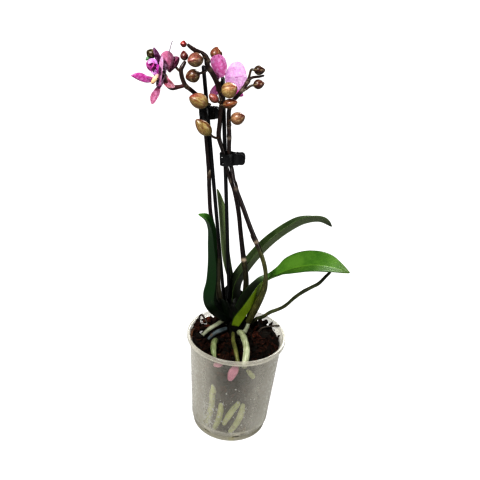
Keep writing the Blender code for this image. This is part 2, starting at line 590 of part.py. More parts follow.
def build_fallen(name, degrees, z, half_w, half_h, mat):
    """A limp petal lying against the inside of the wall."""
    verts, faces = [], []
    rows, cols = 6, 5
    thick = 0.5
    for i in range(rows):
        v = -1 + 2 * i / (rows - 1)
        w = half_w * math.sqrt(max(0.05, 1 - (0.93 * v) ** 2))
        line_in, line_out = [], []
        for k in range(cols):
            u = -1 + 2 * k / (cols - 1)
            deg = degrees + math.degrees(u * w / 40.0) + 3.0 * v
            line_out.append(on_wall(deg, z + v * half_h / 2, 0.25))
            line_in.append(on_wall(deg, z + v * half_h / 2, 0.25 + thick))
        verts += line_out + line_in[::-1]
    n = 2 * cols
    for i in range(rows - 1):
        for k in range(n):
            a, b = i * n + k, i * n + (k + 1) % n
            faces.append((a, b, b + n, a + n))
    for off in (0, (rows - 1) * n):
        for k in range(cols - 1):
            faces.append((off + k, off + k + 1, off + n - 2 - k, off + n - 1 - k))
    return add_object(name, verts, faces, mat)


def stalk(root, base, tip, start_r, end_r, via=()):
    """Route of a bud's stalk: leaves its spike, then runs into the bud's axis."""
    root, base, tip = Vector(root), Vector(base), Vector(tip)
    axis = (tip - base).normalized()
    end = base - axis * 0.45
    before = base - axis * min(2.2, 0.35 * (base - root).length)
    middle = via or [root.lerp(before, 0.5) + Vector((0, 0, -0.6))]
    return [(*root, start_r)] + [(*p, (start_r + end_r) / 2) for p in middle] + [(*before, end_r), (*end, end_r)]


def build_spikes():
    mat = material("spike", (0.055, 0.03, 0.022), 0.45)
    routes = {"left": ("spike_left", SPIKE_LEFT), "inner": ("spike_right_inner", SPIKE_INNER),
              "outer": ("spike_right_outer", SPIKE_OUTER)}
    extra = {
        "left": [[(-56.4, 3.4, 312.0, 1.3), (-61.4, 2.2, 310.4, 1.5), (-66.4, 1.0, 310.0, 2.2),
                  (-69.8, 0.3, 313.3, 2.6), (-72.2, 0.0, 317.4, 2.6), (-74.6, -0.9, 319.6, 2.6),
                  (-77.6, -2.6, 318.4, 2.0)]],
        "inner": [[(-30.4, 17, 307, 1.2), (-32.2, 20.4, 309, 1.5), (-31.6, 24, 312, 1.6),
                   (-29.6, 26.0, 313.6, 1.3)]],
        "outer": [],
    }
    for key, (name, route) in routes.items():
        spike = tube(name, route, mat, sides=8, step=9.0)
        arms = []
        for bud, (owner, root, base, tip, dia) in BUDS.items():
            if owner == key and root:
                via = STALK_VIA.get(bud, ())
                arms.append(tube(f"arm_{bud}", stalk(root, base, tip, 0.9, 0.85, via), None, 6, 4.0, 0.0, False))
        for i, more in enumerate(extra[key]):
            arms.append(tube(f"arm_{key}_{i}", more, None, sides=8, step=4.0))
        boolean(spike, arms, "UNION")


def build_clip(name, centre, bore, lever, rod):
    """Two claws on one pin, modelled round the pin with its axis along Z.

    An empty on the pin's axis, leaning with the rod, carries the pieces.
    """
    h = (Vector(rod[1]) - Vector(rod[0])).normalized()
    v = Vector((0, 1, 0))
    u = v.cross(h)
    half = CLIP_H / 2
    mid_r = bore + CLIP_WALL / 2
    reach = mid_r + 1.6                            # claw centre to pin
    hinge = Vector(centre) + u * reach
    empty = bpy.data.objects.new(f"{name}_axis", None)
    empty.matrix_world = Matrix((
        (u.x, v.x, h.x, hinge.x * MM), (u.y, v.y, h.y, hinge.y * MM),
        (u.z, v.z, h.z, hinge.z * MM), (0, 0, 0, 1)))
    bpy.context.scene.collection.objects.link(empty)
    plastic = material("black_plastic", (0.012, 0.012, 0.014), 0.3)
    steel = material("spring_steel", (0.35, 0.35, 0.36), 0.35, 1.0)
    away = KNUCKLE_R + 0.35 + CLIP_WALL / 2        # each plate to the pin's axis

    def outline(sign):
        pts = []
        start, end = 176, math.degrees(math.asin(min(0.95, away / mid_r)))
        steps = 9
        for i in range(steps + 1):
            a = math.radians(start + (end - start) * i / steps)
            pts.append((mid_r * math.cos(a) - reach, sign * mid_r * math.sin(a)))
        pts.append((0, sign * away))
        pts.append((2.4, sign * (away + 0.5)))
        pts.append((lever, sign * (away + LEVER_SPREAD)))
        return pts

    def jaw(label, sign, knuckles, teeth):
        body = ribbon(f"{name}_{label}", outline(sign), CLIP_WALL / 2, -half, half, plastic)
        tip, root = -reach - mid_r - 3, -reach - mid_r * 0.55
        for low, high in teeth:
            box = [(tip, -sign * 0.5), (root, -sign * 0.5), (root, sign * (mid_r + 2)), (tip, sign * (mid_r + 2))]
            boolean(body, [prism(f"{name}_{label}_gap", box, low, high, None)], "DIFFERENCE")
        pad_r = 0.45 * CLIP_H
        pad = [(-reach - mid_r - 2, -half - 1), (0.5, -half - 1), (2.0, -pad_r)]
        pad += [(lever - 3.2 + 3.6 * math.sin(t), -pad_r * math.cos(t)) for t in (0.3, 0.8, 1.25, 1.9, 2.35, 2.85)]
        pad += [(2.0, pad_r), (0.5, half + 1), (-reach - mid_r - 2, half + 1)]
        side_form = prism(f"{name}_{label}_form", pad, -2 * mid_r, 2 * mid_r, None)
        side_form.data.transform(Matrix.Rotation(math.radians(90), 4, "X"))
        boolean(body, [side_form], "INTERSECT")
        for low, high in knuckles:
            block = [(-0.9, 0), (0.9, 0), (0.9, sign * (away + 0.13)), (-0.9, sign * (away + 0.13))]
            barrel = prism(f"{name}_{label}_barrel", ring_outline(0, 0, KNUCKLE_R, 14), low, high, None)
            boolean(barrel, [prism(f"{name}_{label}_web", block, low, high, None)], "UNION")
            boolean(body, [barrel], "UNION")
        bore_cut = prism(f"{name}_{label}_bore", ring_outline(0, 0, PIN_R + 0.3, 12), -half - 1, half + 1, None)
        boolean(body, [bore_cut], "DIFFERENCE")
        return body

    pieces = [jaw("jaw_front", -1, [(-half, -half + 2.0), (half - 2.0, half)], [(-3.4, -1.7), (1.7, 3.4)]),
              jaw("jaw_rear", 1, [(-half + 2.3, -half + 4.3)], [(-0.8, 0.8)]),
              prism(f"{name}_pin", ring_outline(0, 0, PIN_R, 10), -half - 0.4, half + 0.4, steel)]
    # torsion spring wound round the pin between the knuckles: one leg lies along
    # the front lever, the other end stops at the coil, behind the rear barrel
    wire, coil_r, turns = 0.26, 1.24, 3.25
    low, high = -half + 4.9, half - 2.6
    pts = [(3.3, -2.15, low, wire), (2.2, -1.78, low, wire), (1.0, -1.4, low, wire)]
    steps = round(turns * 12)
    for i in range(steps + 1):
        a = -math.pi / 2 - 2 * math.pi * turns * i / steps
        pts.append((coil_r * math.cos(a), coil_r * math.sin(a), low + (high - low) * i / steps, wire))
    verts, faces = tube_mesh(pts, 6, 0.0, False)
    pieces.append(add_object(f"{name}_spring", verts, faces, steel))
    for piece in pieces:
        piece.parent = empty


def main():
    clear_scene()
    green = {
        "leaf_front_right": (0.13, 0.28, 0.04), "leaf_rear_right": (0.16, 0.22, 0.09),
        "leaf_left": (0.03, 0.10, 0.02), "leaf_rear_tall": (0.35, 0.40, 0.24)}
    sides = {"leaf_front_right": (0, -1, 0), "leaf_rear_right": (0, -1, 0),
             "leaf_left": (0, 1, 0), "leaf_rear_tall": (-0.45, 0.9, 0)}
    build_pot()

    root_pale = material("root_velamen", (0.42, 0.44, 0.30), 0.7)
    root_green = material("root_green", (0.12, 0.13, 0.05), 0.6)
    dead = material("dead_root", (0.12, 0.07, 0.04), 0.8)
    root_mats = {"root_front_thick": root_pale, "root_front_olive": root_green,
                 "root_front_left": root_pale, "root_rear_left": root_pale, "root_aerial": root_green}

    cutters = [
        tube("cut_stake_l", [(*STAKE_LEFT[0], STAKE_R), (*STAKE_LEFT[1], STAKE_R)], None, 10, 300, GAP, False),
        tube("cut_stake_r", [(*STAKE_RIGHT[0], STAKE_R), (*STAKE_RIGHT[1], STAKE_R)], None, 10, 300, GAP, False),
        tube("cut_crown", CROWN, None, 14, 6, GAP, True)]

    for name, route in ROOTS.items():
        tube(name, route, root_mats[name], 8, 6.0)
        cutters.append(tube("cut_" + name, route, None, 8, 6.0, GAP + 0.1))
    tube("root_dead_arch", ROOT_ARCH, dead, 6, 5.0)
    cutters.append(tube("cut_arch", ROOT_ARCH, None, 6, 5.0, GAP))
    tube("twig", TWIG, dead, 6, 6.0, 0.0, False)
    cutters.append(tube("cut_twig", TWIG, None, 6, 6.0, GAP, False))

    for name, marks in WALL_ROOTS.items():
        route = []
        for i, (deg, z) in enumerate(marks):
            r = WALL_ROOT_R * (0.8 if i in (0, len(marks) - 1) else 1.0)
            route.append((*on_wall(deg, z, WALL_ROOT_R + 0.6), r))
        tube(name, route, root_pale, 8, 6.0)
        cutters.append(tube("cut_" + name, route, None, 8, 6.0, GAP + 0.1))

    crown = tube("crown", CROWN, material("crown", (0.05, 0.07, 0.02), 0.6), 14, 6.0)
    crown_cutters = []
    for name, d in LEAVES.items():
        leaf(name, d["route"], d["width"], d["fold"], d["roll"], d["thick"], sides[name],
             material(name, green[name], 0.4))
        crown_cutters.append(leaf("cut_" + name, d["route"][:4], d["width"][:4], d["fold"][:4], d["roll"][:4],
                                  d["thick"], sides[name], None, grow=GAP))
    for route, label in ((SPIKE_LEFT, "l"), (SPIKE_INNER, "i"), (SPIKE_OUTER, "o")):
        crown_cutters.append(tube("cut_spike_" + label, route[:4], None, 8, 9.0, GAP))
    for rod, label in ((STAKE_LEFT, "l"), (STAKE_RIGHT, "r")):
        crown_cutters.append(tube("cut3_" + label, [(*rod[0], STAKE_R), (*rod[1], STAKE_R)], None, 10, 300, GAP, False))
    for name in ROOTS:
        crown_cutters.append(tube("cut2_" + name, ROOTS[name][:3], None, 8, 6.0, GAP))
    boolean(crown, crown_cutters, "DIFFERENCE")

    build_bark(cutters)

    petal = material("fallen_petal", (0.70, 0.30, 0.45), 0.6)
    for name, (deg, z, hw, hh) in FALLEN.items():
        build_fallen(name, deg, z, hw, hh, petal)

    black = material("stake_plastic", (0.01, 0.011, 0.013), 0.35)
    for name, ends in (("stake_left", STAKE_LEFT), ("stake_right", STAKE_RIGHT)):
        a, b = ends
        tube(name, [(*a, STAKE_R), (*b, STAKE_R)], black, 12, 300, 0.0, True)

    build_spikes()

    bud_colours = {
        "bud_terminal_red": (0.35, 0.05, 0.04), "bud_top_left": (0.25, 0.10, 0.07),
        "bud_top_centre": (0.32, 0.20, 0.15), "bud_centre": (0.22, 0.13, 0.08),
        "bud_top_right": (0.35, 0.20, 0.13), "bud_low_left": (0.50, 0.28, 0.20),
        "bud_low_right": (0.28, 0.16, 0.11), "bud_cream_right": (0.50, 0.38, 0.24),
        "bud_cream_left": (0.52, 0.44, 0.28), "bud_hanging": (0.45, 0.36, 0.22),
        "bud_round_right": (0.48, 0.36, 0.24), "bud_fork_upper": (0.20, 0.12, 0.08),
        "bud_fork_lower": (0.26, 0.12, 0.08), "bud_far_left": (0.14, 0.11, 0.04)}
    for name, (owner, root, base, tip, dia) in BUDS.items():
        ovoid(name, base, tip, dia, material(name, bud_colours[name], 0.45))

    pink = material("petal_pink", (0.62, 0.28, 0.48), 0.5)
    deep = material("petal_deep", (0.32, 0.04, 0.25), 0.5)
    pale = material("petal_pale", (0.80, 0.62, 0.78), 0.5)
    finish = {"flower_left_sepal_dorsal": deep, "flower_left_petal_front": deep, "flower_left_lip": deep,
              "flower_right_petal_right": pale}
    for group in (FLOWER_LEFT, FLOWER_RIGHT):
        for name, (base, mid, tip, half, face, cup) in group.items():
            tepal(name, base, mid, tip, half, face, cup, finish.get(name, pink))

    rods = {"clip_left": STAKE_LEFT, "clip_right": STAKE_RIGHT}
    for name, (centre, bore, lever) in CLIPS.items():
        build_clip(name, centre, bore, lever, rods[name])
    finish_objects()


main()
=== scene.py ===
"""Looks of the potted orchid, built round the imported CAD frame.

The tables are in millimetres in the frame of the CAD model: origin at the centre
of the pot's base, +Z up, -Y the front. MM turns them into metres.
"""

import json
import math
import random

import bmesh
import bpy
import numpy as np
from mathutils import Matrix, Vector

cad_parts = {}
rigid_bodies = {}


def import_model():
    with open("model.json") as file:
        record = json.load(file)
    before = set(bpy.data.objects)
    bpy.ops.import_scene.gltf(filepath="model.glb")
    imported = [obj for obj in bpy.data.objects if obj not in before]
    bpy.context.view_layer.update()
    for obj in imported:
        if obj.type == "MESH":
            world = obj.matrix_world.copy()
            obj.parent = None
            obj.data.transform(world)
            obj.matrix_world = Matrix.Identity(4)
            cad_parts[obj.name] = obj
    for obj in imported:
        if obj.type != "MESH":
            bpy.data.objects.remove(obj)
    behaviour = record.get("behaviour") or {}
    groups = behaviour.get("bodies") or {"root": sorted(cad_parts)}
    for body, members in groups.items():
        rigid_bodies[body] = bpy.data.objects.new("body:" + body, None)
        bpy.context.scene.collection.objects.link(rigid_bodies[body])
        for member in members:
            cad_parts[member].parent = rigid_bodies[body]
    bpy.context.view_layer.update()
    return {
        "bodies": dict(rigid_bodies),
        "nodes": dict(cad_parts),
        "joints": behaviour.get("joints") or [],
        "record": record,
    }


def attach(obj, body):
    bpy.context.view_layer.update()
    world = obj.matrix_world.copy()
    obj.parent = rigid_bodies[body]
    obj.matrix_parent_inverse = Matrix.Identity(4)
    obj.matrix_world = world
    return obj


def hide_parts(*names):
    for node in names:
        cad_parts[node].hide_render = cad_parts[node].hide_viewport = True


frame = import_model()
MM = 0.001
ROOT = "plant_in_pot"


# ============================================================ small maths
def unit(v):
    v = np.asarray(v, float)
    return v / np.linalg.norm(v)


def srgb(r, g, b, a=1.0):
    """Linear colour from 0..255 display values."""
    out = []
    for c in (r, g, b):
        c = c / 255.0
        out.append(c / 12.92 if c <= 0.04045 else ((c + 0.055) / 1.055) ** 2.4)
    return (*out, a)


def _hash(i, j, k, seed):
    with np.errstate(over="ignore"):
        h = (i.astype(np.uint32) * np.uint32(374761393) + j.astype(np.uint32) * np.uint32(668265263)
             + k.astype(np.uint32) * np.uint32(2246822519) + np.uint32((seed * 3266489917 + 12345) & 0xFFFFFFFF))
        h = (h ^ (h >> np.uint32(13))) * np.uint32(1274126177)
        h = h ^ (h >> np.uint32(16))
    return h.astype(float) / 4294967295.0 * 2 - 1


def value_noise(p, seed=0):
    """Smooth noise in -1..1 at points p (n, 3)."""
    f = np.floor(p).astype(np.int64)
    w = p - f
    w = w * w * (3 - 2 * w)
    i, j, k = f[:, 0], f[:, 1], f[:, 2]
    total = 0.0
    for a in (0, 1):
        for b in (0, 1):
            for c in (0, 1):
                g = (w[:, 0] if a else 1 - w[:, 0]) * (w[:, 1] if b else 1 - w[:, 1]) * (w[:, 2] if c else 1 - w[:, 2])
                total = total + g * _hash(i + a, j + b, k + c, seed)
    return total


def fbm(p, size, octaves=3, seed=0):
    """Fractal noise whose largest features are about size mm."""
    p = np.asarray(p, float) / size
    total, amp, norm = 0.0, 1.0, 0.0
    for o in range(octaves):
        total = total + amp * value_noise(p * 2 ** o + 17.3 * o, seed + o)
        norm += amp
        amp *= 0.5
    return total / norm


def smooth_route(points, step):
    """Catmull-Rom route through rows of any length, about step mm apart."""
    pts = np.array(points, float)
    ext = np.vstack([2 * pts[0] - pts[1], pts, 2 * pts[-1] - pts[-2]])
    out = []
    for i in range(1, len(ext) - 2):
        p0, p1, p2, p3 = ext[i - 1:i + 3]
        n = max(1, int(round(np.linalg.norm(p2[:3] - p1[:3]) / step)))
        for q in range(n):
            t = q / n
            out.append(0.5 * (2 * p1 + (p2 - p0) * t + (2 * p0 - 5 * p1 + 4 * p2 - p3) * t * t
                              + (3 * p1 - p0 - 3 * p2 + p3) * t ** 3))
    out.append(pts[-1])
    return np.array(out)


def tangents(p):
    t = np.empty_like(p)
    t[1:-1] = p[2:] - p[:-2]
    t[0] = p[1] - p[0]
    t[-1] = p[-1] - p[-2]
    return t / np.linalg.norm(t, axis=1)[:, None]


def transported(t, start=(0, -1, 0)):
    """Side vectors carried along tangents without twist."""
    ref = unit(start)
    if abs(ref @ t[0]) > 0.95:
        ref = np.array([1.0, 0, 0])
    side = np.empty_like(t)
    s = ref - (ref @ t[0]) * t[0]
    for i in range(len(t)):
        s = s - (s @ t[i]) * t[i]
        s = s / np.linalg.norm(s)
        side[i] = s
    return side


# ============================================================ mesh building
class Build:
    """Collects shells, in millimetres, with point attributes."""

    def __init__(self):
        self.verts, self.faces, self.marks, self.count = [], [], {}, 0
        self.attrs = {}

    def add(self, verts, faces, mark=0, **attrs):
        verts = np.asarray(verts, float).reshape(-1, 3)
        n = len(verts)
        base = self.count
        self.verts.append(verts)
        for f in faces:
            self.faces.append(tuple(base + i for i in f))
        self.marks.setdefault(mark, []).append((len(self.faces) - len(faces), len(self.faces)))
        for key, value in attrs.items():
            value = np.asarray(value, float)
            if value.ndim == 0:
                value = np.full(n, float(value))
            self.attrs.setdefault(key, []).append((base, value.reshape(n, -1) if value.size != n else value.reshape(n)))
        self.count += n
        return self

    def piece(self, name, mats, body=ROOT, stands=(), slot=None, sharp=None, fix=True):
        mats = mats if isinstance(mats, (list, tuple)) else [mats]
        verts = np.vstack(self.verts) * MM
        mesh = bpy.data.meshes.new(name)
        mesh.from_pydata(verts.tolist(), [], self.faces)
        for mat in mats:
            mesh.materials.append(mat)
        if len(mats) > 1:
            index = np.zeros(len(self.faces), np.int32)
            for mark, spans in self.marks.items():
                for a, b in spans:
                    index[a:b] = mark
            mesh.polygons.foreach_set("material_index", index)
        for key, parts in self.attrs.items():
            wide = parts[0][1].ndim == 2
            data = np.zeros((self.count, 3) if wide else self.count, np.float32)
            for base, value in parts:
                data[base:base + len(value)] = value
            at = mesh.attributes.new(key, "FLOAT_VECTOR" if wide else "FLOAT", "POINT")
            at.data.foreach_set("vector" if wide else "value", data.ravel())
        if fix:
            bm = bmesh.new()
            bm.from_mesh(mesh)
            bmesh.ops.recalc_face_normals(bm, faces=bm.faces)
            bm.to_mesh(mesh)
            bm.free()
        mesh.validate()
        mesh.shade_smooth()
        if sharp:
            mesh.set_sharp_from_angle(angle=math.radians(sharp))
        obj = bpy.data.objects.new(name, mesh)
        bpy.context.scene.collection.objects.link(obj)
        if stands:
            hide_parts(*stands)
        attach(obj, body)
        return obj


def grid_faces(rows, cols, closed=True, flip=False):
    out = []
    last = cols if closed else cols - 1
    for i in range(rows - 1):
        for k in range(last):
            a, b = i * cols + k, i * cols + (k + 1) % cols
            out.append((a, b, b + cols, a + cols) if not flip else (a, a + cols, b + cols, b))
    return out


def tube_shell(path, sides=16, bump=None, round_start=False, round_end=True, start=(0, -1, 0), phase=0.0):
    """A tube round rows of (x, y, z, r). bump(points, along, around) gives mm outward.

    Returns verts, faces and attributes: along, from 0 to 1, and flow, the
    unrolled place on the surface in mm.
    """
    p, r = path[:, :3], path[:, 3].copy()
    t = tangents(p)
    side = transported(t, start)
    P, T, S, R = [p], [t], [side], [r]
    if round_end:
        q = np.radians([25, 50, 72])
        P[0] = p.copy()
        P.append(p[-1] + np.sin(q)[:, None] * t[-1] * r[-1] * 0.85)
        R.append(r[-1] * np.cos(q))
        T.append(np.repeat(t[-1:], 3, 0))
        S.append(np.repeat(side[-1:], 3, 0))
    if round_start:
        q = np.radians([72, 50, 25])
        P.insert(0, p[0] - np.sin(q)[:, None] * t[0] * r[0] * 0.85)
        R.insert(0, r[0] * np.cos(q))
        T.insert(0, np.repeat(t[:1], 3, 0))
        S.insert(0, np.repeat(side[:1], 3, 0))
    P, R, T, S = np.vstack(P), np.concatenate(R), np.vstack(T), np.vstack(S)
    U = np.cross(T, S)
    a = 2 * np.pi * np.arange(sides) / sides + phase
    out = S[:, None, :] * np.cos(a)[None, :, None] + U[:, None, :] * np.sin(a)[None, :, None]
    along = np.concatenate([[0], np.cumsum(np.linalg.norm(np.diff(P, axis=0), axis=1))])
    A = np.repeat(along[:, None], sides, 1)
    G = np.repeat(a[None, :], len(P), 0)
    V = P[:, None, :] + out * R[:, None, None]
    if bump is not None:
        d = bump(V.reshape(-1, 3), A.ravel(), G.ravel()).reshape(len(P), sides)
        V = V + out * d[:, :, None]
    n = len(P)
    verts = np.vstack([V.reshape(-1, 3), P[0] - T[0] * (R[0] * 0.15 if round_start else 0),
                       P[-1] + T[-1] * (R[-1] * 0.25 if round_end else 0)])
    faces = grid_faces(n, sides)
    first, last = n * sides, n * sides + 1
    top = (n - 1) * sides
    faces += [(first, (k + 1) % sides, k) for k in range(sides)]
    faces += [(last, top + k, top + (k + 1) % sides) for k in range(sides)]
    share = np.concatenate([(A / along[-1]).ravel(), [0, 1]])
    flow = np.vstack([np.stack([A.ravel(), (R[:, None] * np.cos(G)).ravel(), (R[:, None] * np.sin(G)).ravel()], 1),
                      [[0, 0, 0], [along[-1], 0, 0]]])
    return verts, faces, dict(along=share, flow=flow)


def lathe_shell(profile, sides):
    """Turns a profile of (radius, z) whose ends lie on the axis."""
    verts, faces, rings = [], [], []
    for r, z in profile:
        if r < 1e-6:
            rings.append([len(verts)])
            verts.append((0, 0, z))
        else:
            rings.append(list(range(len(verts), len(verts) + sides)))
            for k in range(sides):
                a = 2 * math.pi * k / sides
                verts.append((r * math.cos(a), r * math.sin(a), z))
    for low, high in zip(rings, rings[1:]):
        for k in range(sides):
            j = (k + 1) % sides
            if len(low) == 1:
                faces.append((low[0], high[k], high[j]))
            elif len(high) == 1:
                faces.append((low[k], low[j], high[0]))
            else:
                faces.append((low[k], low[j], high[j], high[k]))
    return np.array(verts, float), faces


def sheet_shell(P, T, side, half, fold, thick, across=25, sharp=0.03, cup=None, wave=None, keel=0.0,
                groove=0.0, margin=0.38, bump=None):
    """A thick folded blade. P, T, side are rows; half, fold (radians), thick are per row.

    sharp rounds the fold. cup(u, v) and wave(u, v) lift the surface in mm.
    Attributes: along 0..1, across -1..1, top 1 on the upper face, flow in mm.
    """
    n = len(P)
    side = side - (side * T).sum(1)[:, None] * T
    side = side / np.linalg.norm(side, axis=1)[:, None]
    N = np.cross(side, T)
    v = np.linspace(-1, 1, across)
    v = np.sign(v) * np.abs(v) ** 0.95
    rise = (np.sqrt(v * v + sharp) - math.sqrt(sharp)) / (math.sqrt(1 + sharp) - math.sqrt(sharp))
    u = np.linspace(0, 1, n)
    length = np.concatenate([[0], np.cumsum(np.linalg.norm(np.diff(P, axis=0), axis=1))])
    X = half[:, None] * v[None, :] * np.cos(fold)[:, None]
    Y = half[:, None] * rise[None, :] * np.sin(fold)[:, None]
    UU, VV = np.repeat(u[:, None], across, 1), np.repeat(v[None, :], n, 0)
    if cup is not None:
        Y = Y + cup(UU, VV)
    if wave is not None:
        Y = Y + wave(UU, VV)
    dX, dY = np.gradient(X, axis=1), np.gradient(Y, axis=1)
    d = np.hypot(dX, dY) + 1e-9
    nx, ny = -dY / d, dX / d
    h = 0.5 * thick[:, None] * (margin + (1 - margin) * (1 - VV ** 2) ** 0.7)
    hb = h + keel * np.exp(-(VV / 0.16) ** 2) * np.minimum(1, half[:, None] / 6)
    ht = h - groove * np.exp(-(VV / 0.07) ** 2) * np.minimum(1, half[:, None] / 6)
    base = P[:, None, :] + side[:, None, :] * X[:, :, None] + N[:, None, :] * Y[:, :, None]
    out = side[:, None, :] * nx[:, :, None] + N[:, None, :] * ny[:, :, None]
    top, bottom = base + out * ht[:, :, None], base - out * hb[:, :, None]
    if bump is not None:
        top = top + out * bump(top.reshape(-1, 3), UU.ravel(), VV.ravel()).reshape(n, across)[:, :, None]
    ring = np.concatenate([top, bottom[:, ::-1]], 1)
    m = 2 * across
    verts = ring.reshape(-1, 3)
    faces = grid_faces(n, m)
    for off, turn in ((0, False), ((n - 1) * m, True)):
        for k in range(across - 1):
            f = (off + k, off + k + 1, off + m - 2 - k, off + m - 1 - k)
            faces.append(f if not turn else f[::-1])
    along = np.repeat(u[:, None], m, 1).ravel()
    vv = np.concatenate([VV, VV[:, ::-1]], 1)
    top_mark = np.concatenate([np.ones((n, across)), np.zeros((n, across))], 1).ravel()
    flow = np.stack([np.repeat(length[:, None], m, 1), vv * half[:, None], top_mark.reshape(n, m) * 3], 2).reshape(-1, 3)
    return verts, faces, dict(along=along, across=vv.ravel(), top=top_mark, flow=flow)


# ============================================================ materials
class Shader:
    """A small hand for node materials round one Principled shader."""

    def __init__(self, name, **sockets):
        self.mat = bpy.data.materials.new(name)
        self.mat.use_nodes = True
        self.tree = self.mat.node_tree
        self.bsdf = self.tree.nodes["Principled BSDF"]
        self.out = self.tree.nodes["Material Output"]
        self._coords = None
        for key, value in sockets.items():
            self.bsdf.inputs[key.replace("_", " ")].default_value = value

    def node(self, kind, **props):
        n = self.tree.nodes.new(kind)
        for key, value in props.items():
            setattr(n, key, value)
        return n

    def put(self, socket, value):
        if isinstance(value, bpy.types.NodeSocket):
            self.tree.links.new(value, socket)
        elif value is not None:
            if hasattr(socket.default_value, "__len__") and len(socket.default_value) == 4 and len(value) == 3:
                value = (*value, 1.0)
            socket.default_value = value

    def set(self, key, value):
        self.put(self.bsdf.inputs[key], value)
        return self

    def coords(self):
        if self._coords is None:
            self._coords = self.node("ShaderNodeTexCoord").outputs["Object"]
        return self._coords

    def attr(self, name, out="Fac"):
        return self.node("ShaderNodeAttribute", attribute_name=name).outputs[out]

    def mapped(self, vector, scale):
        m = self.node("ShaderNodeMapping")
        self.put(m.inputs["Vector"], vector)
        m.inputs["Scale"].default_value = scale
        return m.outputs["Vector"]

    def noise(self, scale, detail=3.0, rough=0.55, vector=None, distort=0.0):
        n = self.node("ShaderNodeTexNoise")
        self.put(n.inputs["Vector"], vector if vector is not None else self.coords())
        n.inputs["Scale"].default_value = scale
        n.inputs["Detail"].default_value = detail
        n.inputs["Roughness"].default_value = rough
        n.inputs["Distortion"].default_value = distort
        return n.outputs["Fac"]

    def voronoi(self, scale, vector=None, feature="F1", out="Distance"):
        n = self.node("ShaderNodeTexVoronoi", feature=feature)
        self.put(n.inputs["Vector"], vector if vector is not None else self.coords())
        n.inputs["Scale"].default_value = scale
        return n.outputs[out]

    def wave(self, scale, vector, distort=0.0, detail=2.0):
        n = self.node("ShaderNodeTexWave", wave_type="BANDS", bands_direction="Y")
        self.put(n.inputs["Vector"], vector)
        n.inputs["Scale"].default_value = scale
        n.inputs["Distortion"].default_value = distort
        n.inputs["Detail"].default_value = detail
        return n.outputs["Fac"]

    def ramp(self, fac, stops, ease=False):
        n = self.node("ShaderNodeValToRGB")
        n.color_ramp.interpolation = "EASE" if ease else "LINEAR"
        while len(n.color_ramp.elements) < len(stops):
            n.color_ramp.elements.new(0.5)
        for e, (pos, colour) in zip(n.color_ramp.elements, stops):
            e.position = pos
            e.color = (*colour[:3], 1.0) if hasattr(colour, "__len__") else (colour, colour, colour, 1.0)
        self.put(n.inputs["Fac"], fac)
        return n.outputs["Color"]

    def mix(self, fac, a, b, blend="MIX"):
        n = self.node("ShaderNodeMix", data_type="RGBA", blend_type=blend)
        n.clamp_factor = True
        self.put(n.inputs[0], fac)
        self.put(n.inputs[6], a)
        self.put(n.inputs[7], b)
        return n.outputs[2]

    def math(self, op, a, b=None, c=None, clamp=False):
        n = self.node("ShaderNodeMath", operation=op, use_clamp=clamp)
        for socket, value in zip(n.inputs, (a, b, c)):
            if value is not None:
                self.put(socket, value)
        return n.outputs[0]

    def band(self, value, low, high, a=0.0, b=1.0, smooth=True):
        n = self.node("ShaderNodeMapRange", interpolation_type="SMOOTHSTEP" if smooth else "LINEAR")
        self.put(n.inputs["Value"], value)
        for key, v in (("From Min", low), ("From Max", high), ("To Min", a), ("To Max", b)):
            n.inputs[key].default_value = v
        return n.outputs["Result"]

    def bump(self, height, strength, distance):
        n = self.node("ShaderNodeBump")
        n.inputs["Strength"].default_value = strength
        n.inputs["Distance"].default_value = distance * MM
        self.put(n.inputs["Height"], height)
        had = self.bsdf.inputs["Normal"]
        if had.is_linked:
            self.tree.links.new(had.links[0].from_socket, n.inputs["Normal"])
        self.put(had, n.outputs["Normal"])
        return self

    def translucent(self, share, colour):
        """Mixes in light that comes through a thin petal."""
        t = self.node("ShaderNodeBsdfTranslucent")
        self.put(t.inputs["Color"], colour)
        m = self.node("ShaderNodeMixShader")
        m.inputs[0].default_value = share
        self.tree.links.new(self.bsdf.outputs[0], m.inputs[1])
        self.tree.links.new(t.outputs[0], m.inputs[2])
        self.tree.links.new(m.outputs[0], self.out.inputs["Surface"])
        return self


# ============================================================ sizes, as the CAD has them

# ---- pot -------------------------------------------------------------------
POT_HEIGHT = 96.0
RIM_R = 45.0                 # outer radius of the rolled lip
RIM_DROP = 4.2               # height of the lip
MOUTH_R = 42.9               # inner radius of the mouth
WALL = 1.0
WALL_TOP_R = 42.1            # outer radius of the wall just under the lip
WALL_LOW_R = 36.6            # outer radius of the wall at the foot step
FOOT_R = 35.0
FOOT_H = 6.6
FLOOR_PAD_R = 12.0           # flat pad in the middle of the base
FLOOR_RISE = 1.6             # the ring round the pad stands clear of the bench
DRAIN_R = 2.6
DRAIN_CIRCLE_R = 20.0
DRAIN_COUNT = 6
SLOT_COUNT = 8               # side slots at the foot step
SLOT_W, SLOT_H, SLOT_LOW = 6.5, 3.7, 4.15
POT_SIDES = 48

# ---- potting bark ----------------------------------------------------------
BARK_BOTTOM = 3.6
BARK_WALL_GAP = 1.1          # clearance of the bark to the wall
BARK_TOP = 87.0
BARK_SIDES = 36

# ---- support rods ----------------------------------------------------------
STAKE_R = 1.6
STAKE_LEFT = ((-9.2, 26, 78), (-45.3, 26, 325.5))
STAKE_RIGHT = ((-5.6, 21, 78), (-29.0, 21, 318.5))

# ---- crown, the short upright stem that carries the leaves and roots --------
CROWN = ((-0.5, 16, 82, 6.4), (-0.5, 16, 90, 7.0), (-1.0, 16, 98, 6.4),
         (-2.5, 16.5, 107, 5.6), (-3.6, 16.6, 115, 4.8), (-4.6, 17, 121, 3.4))

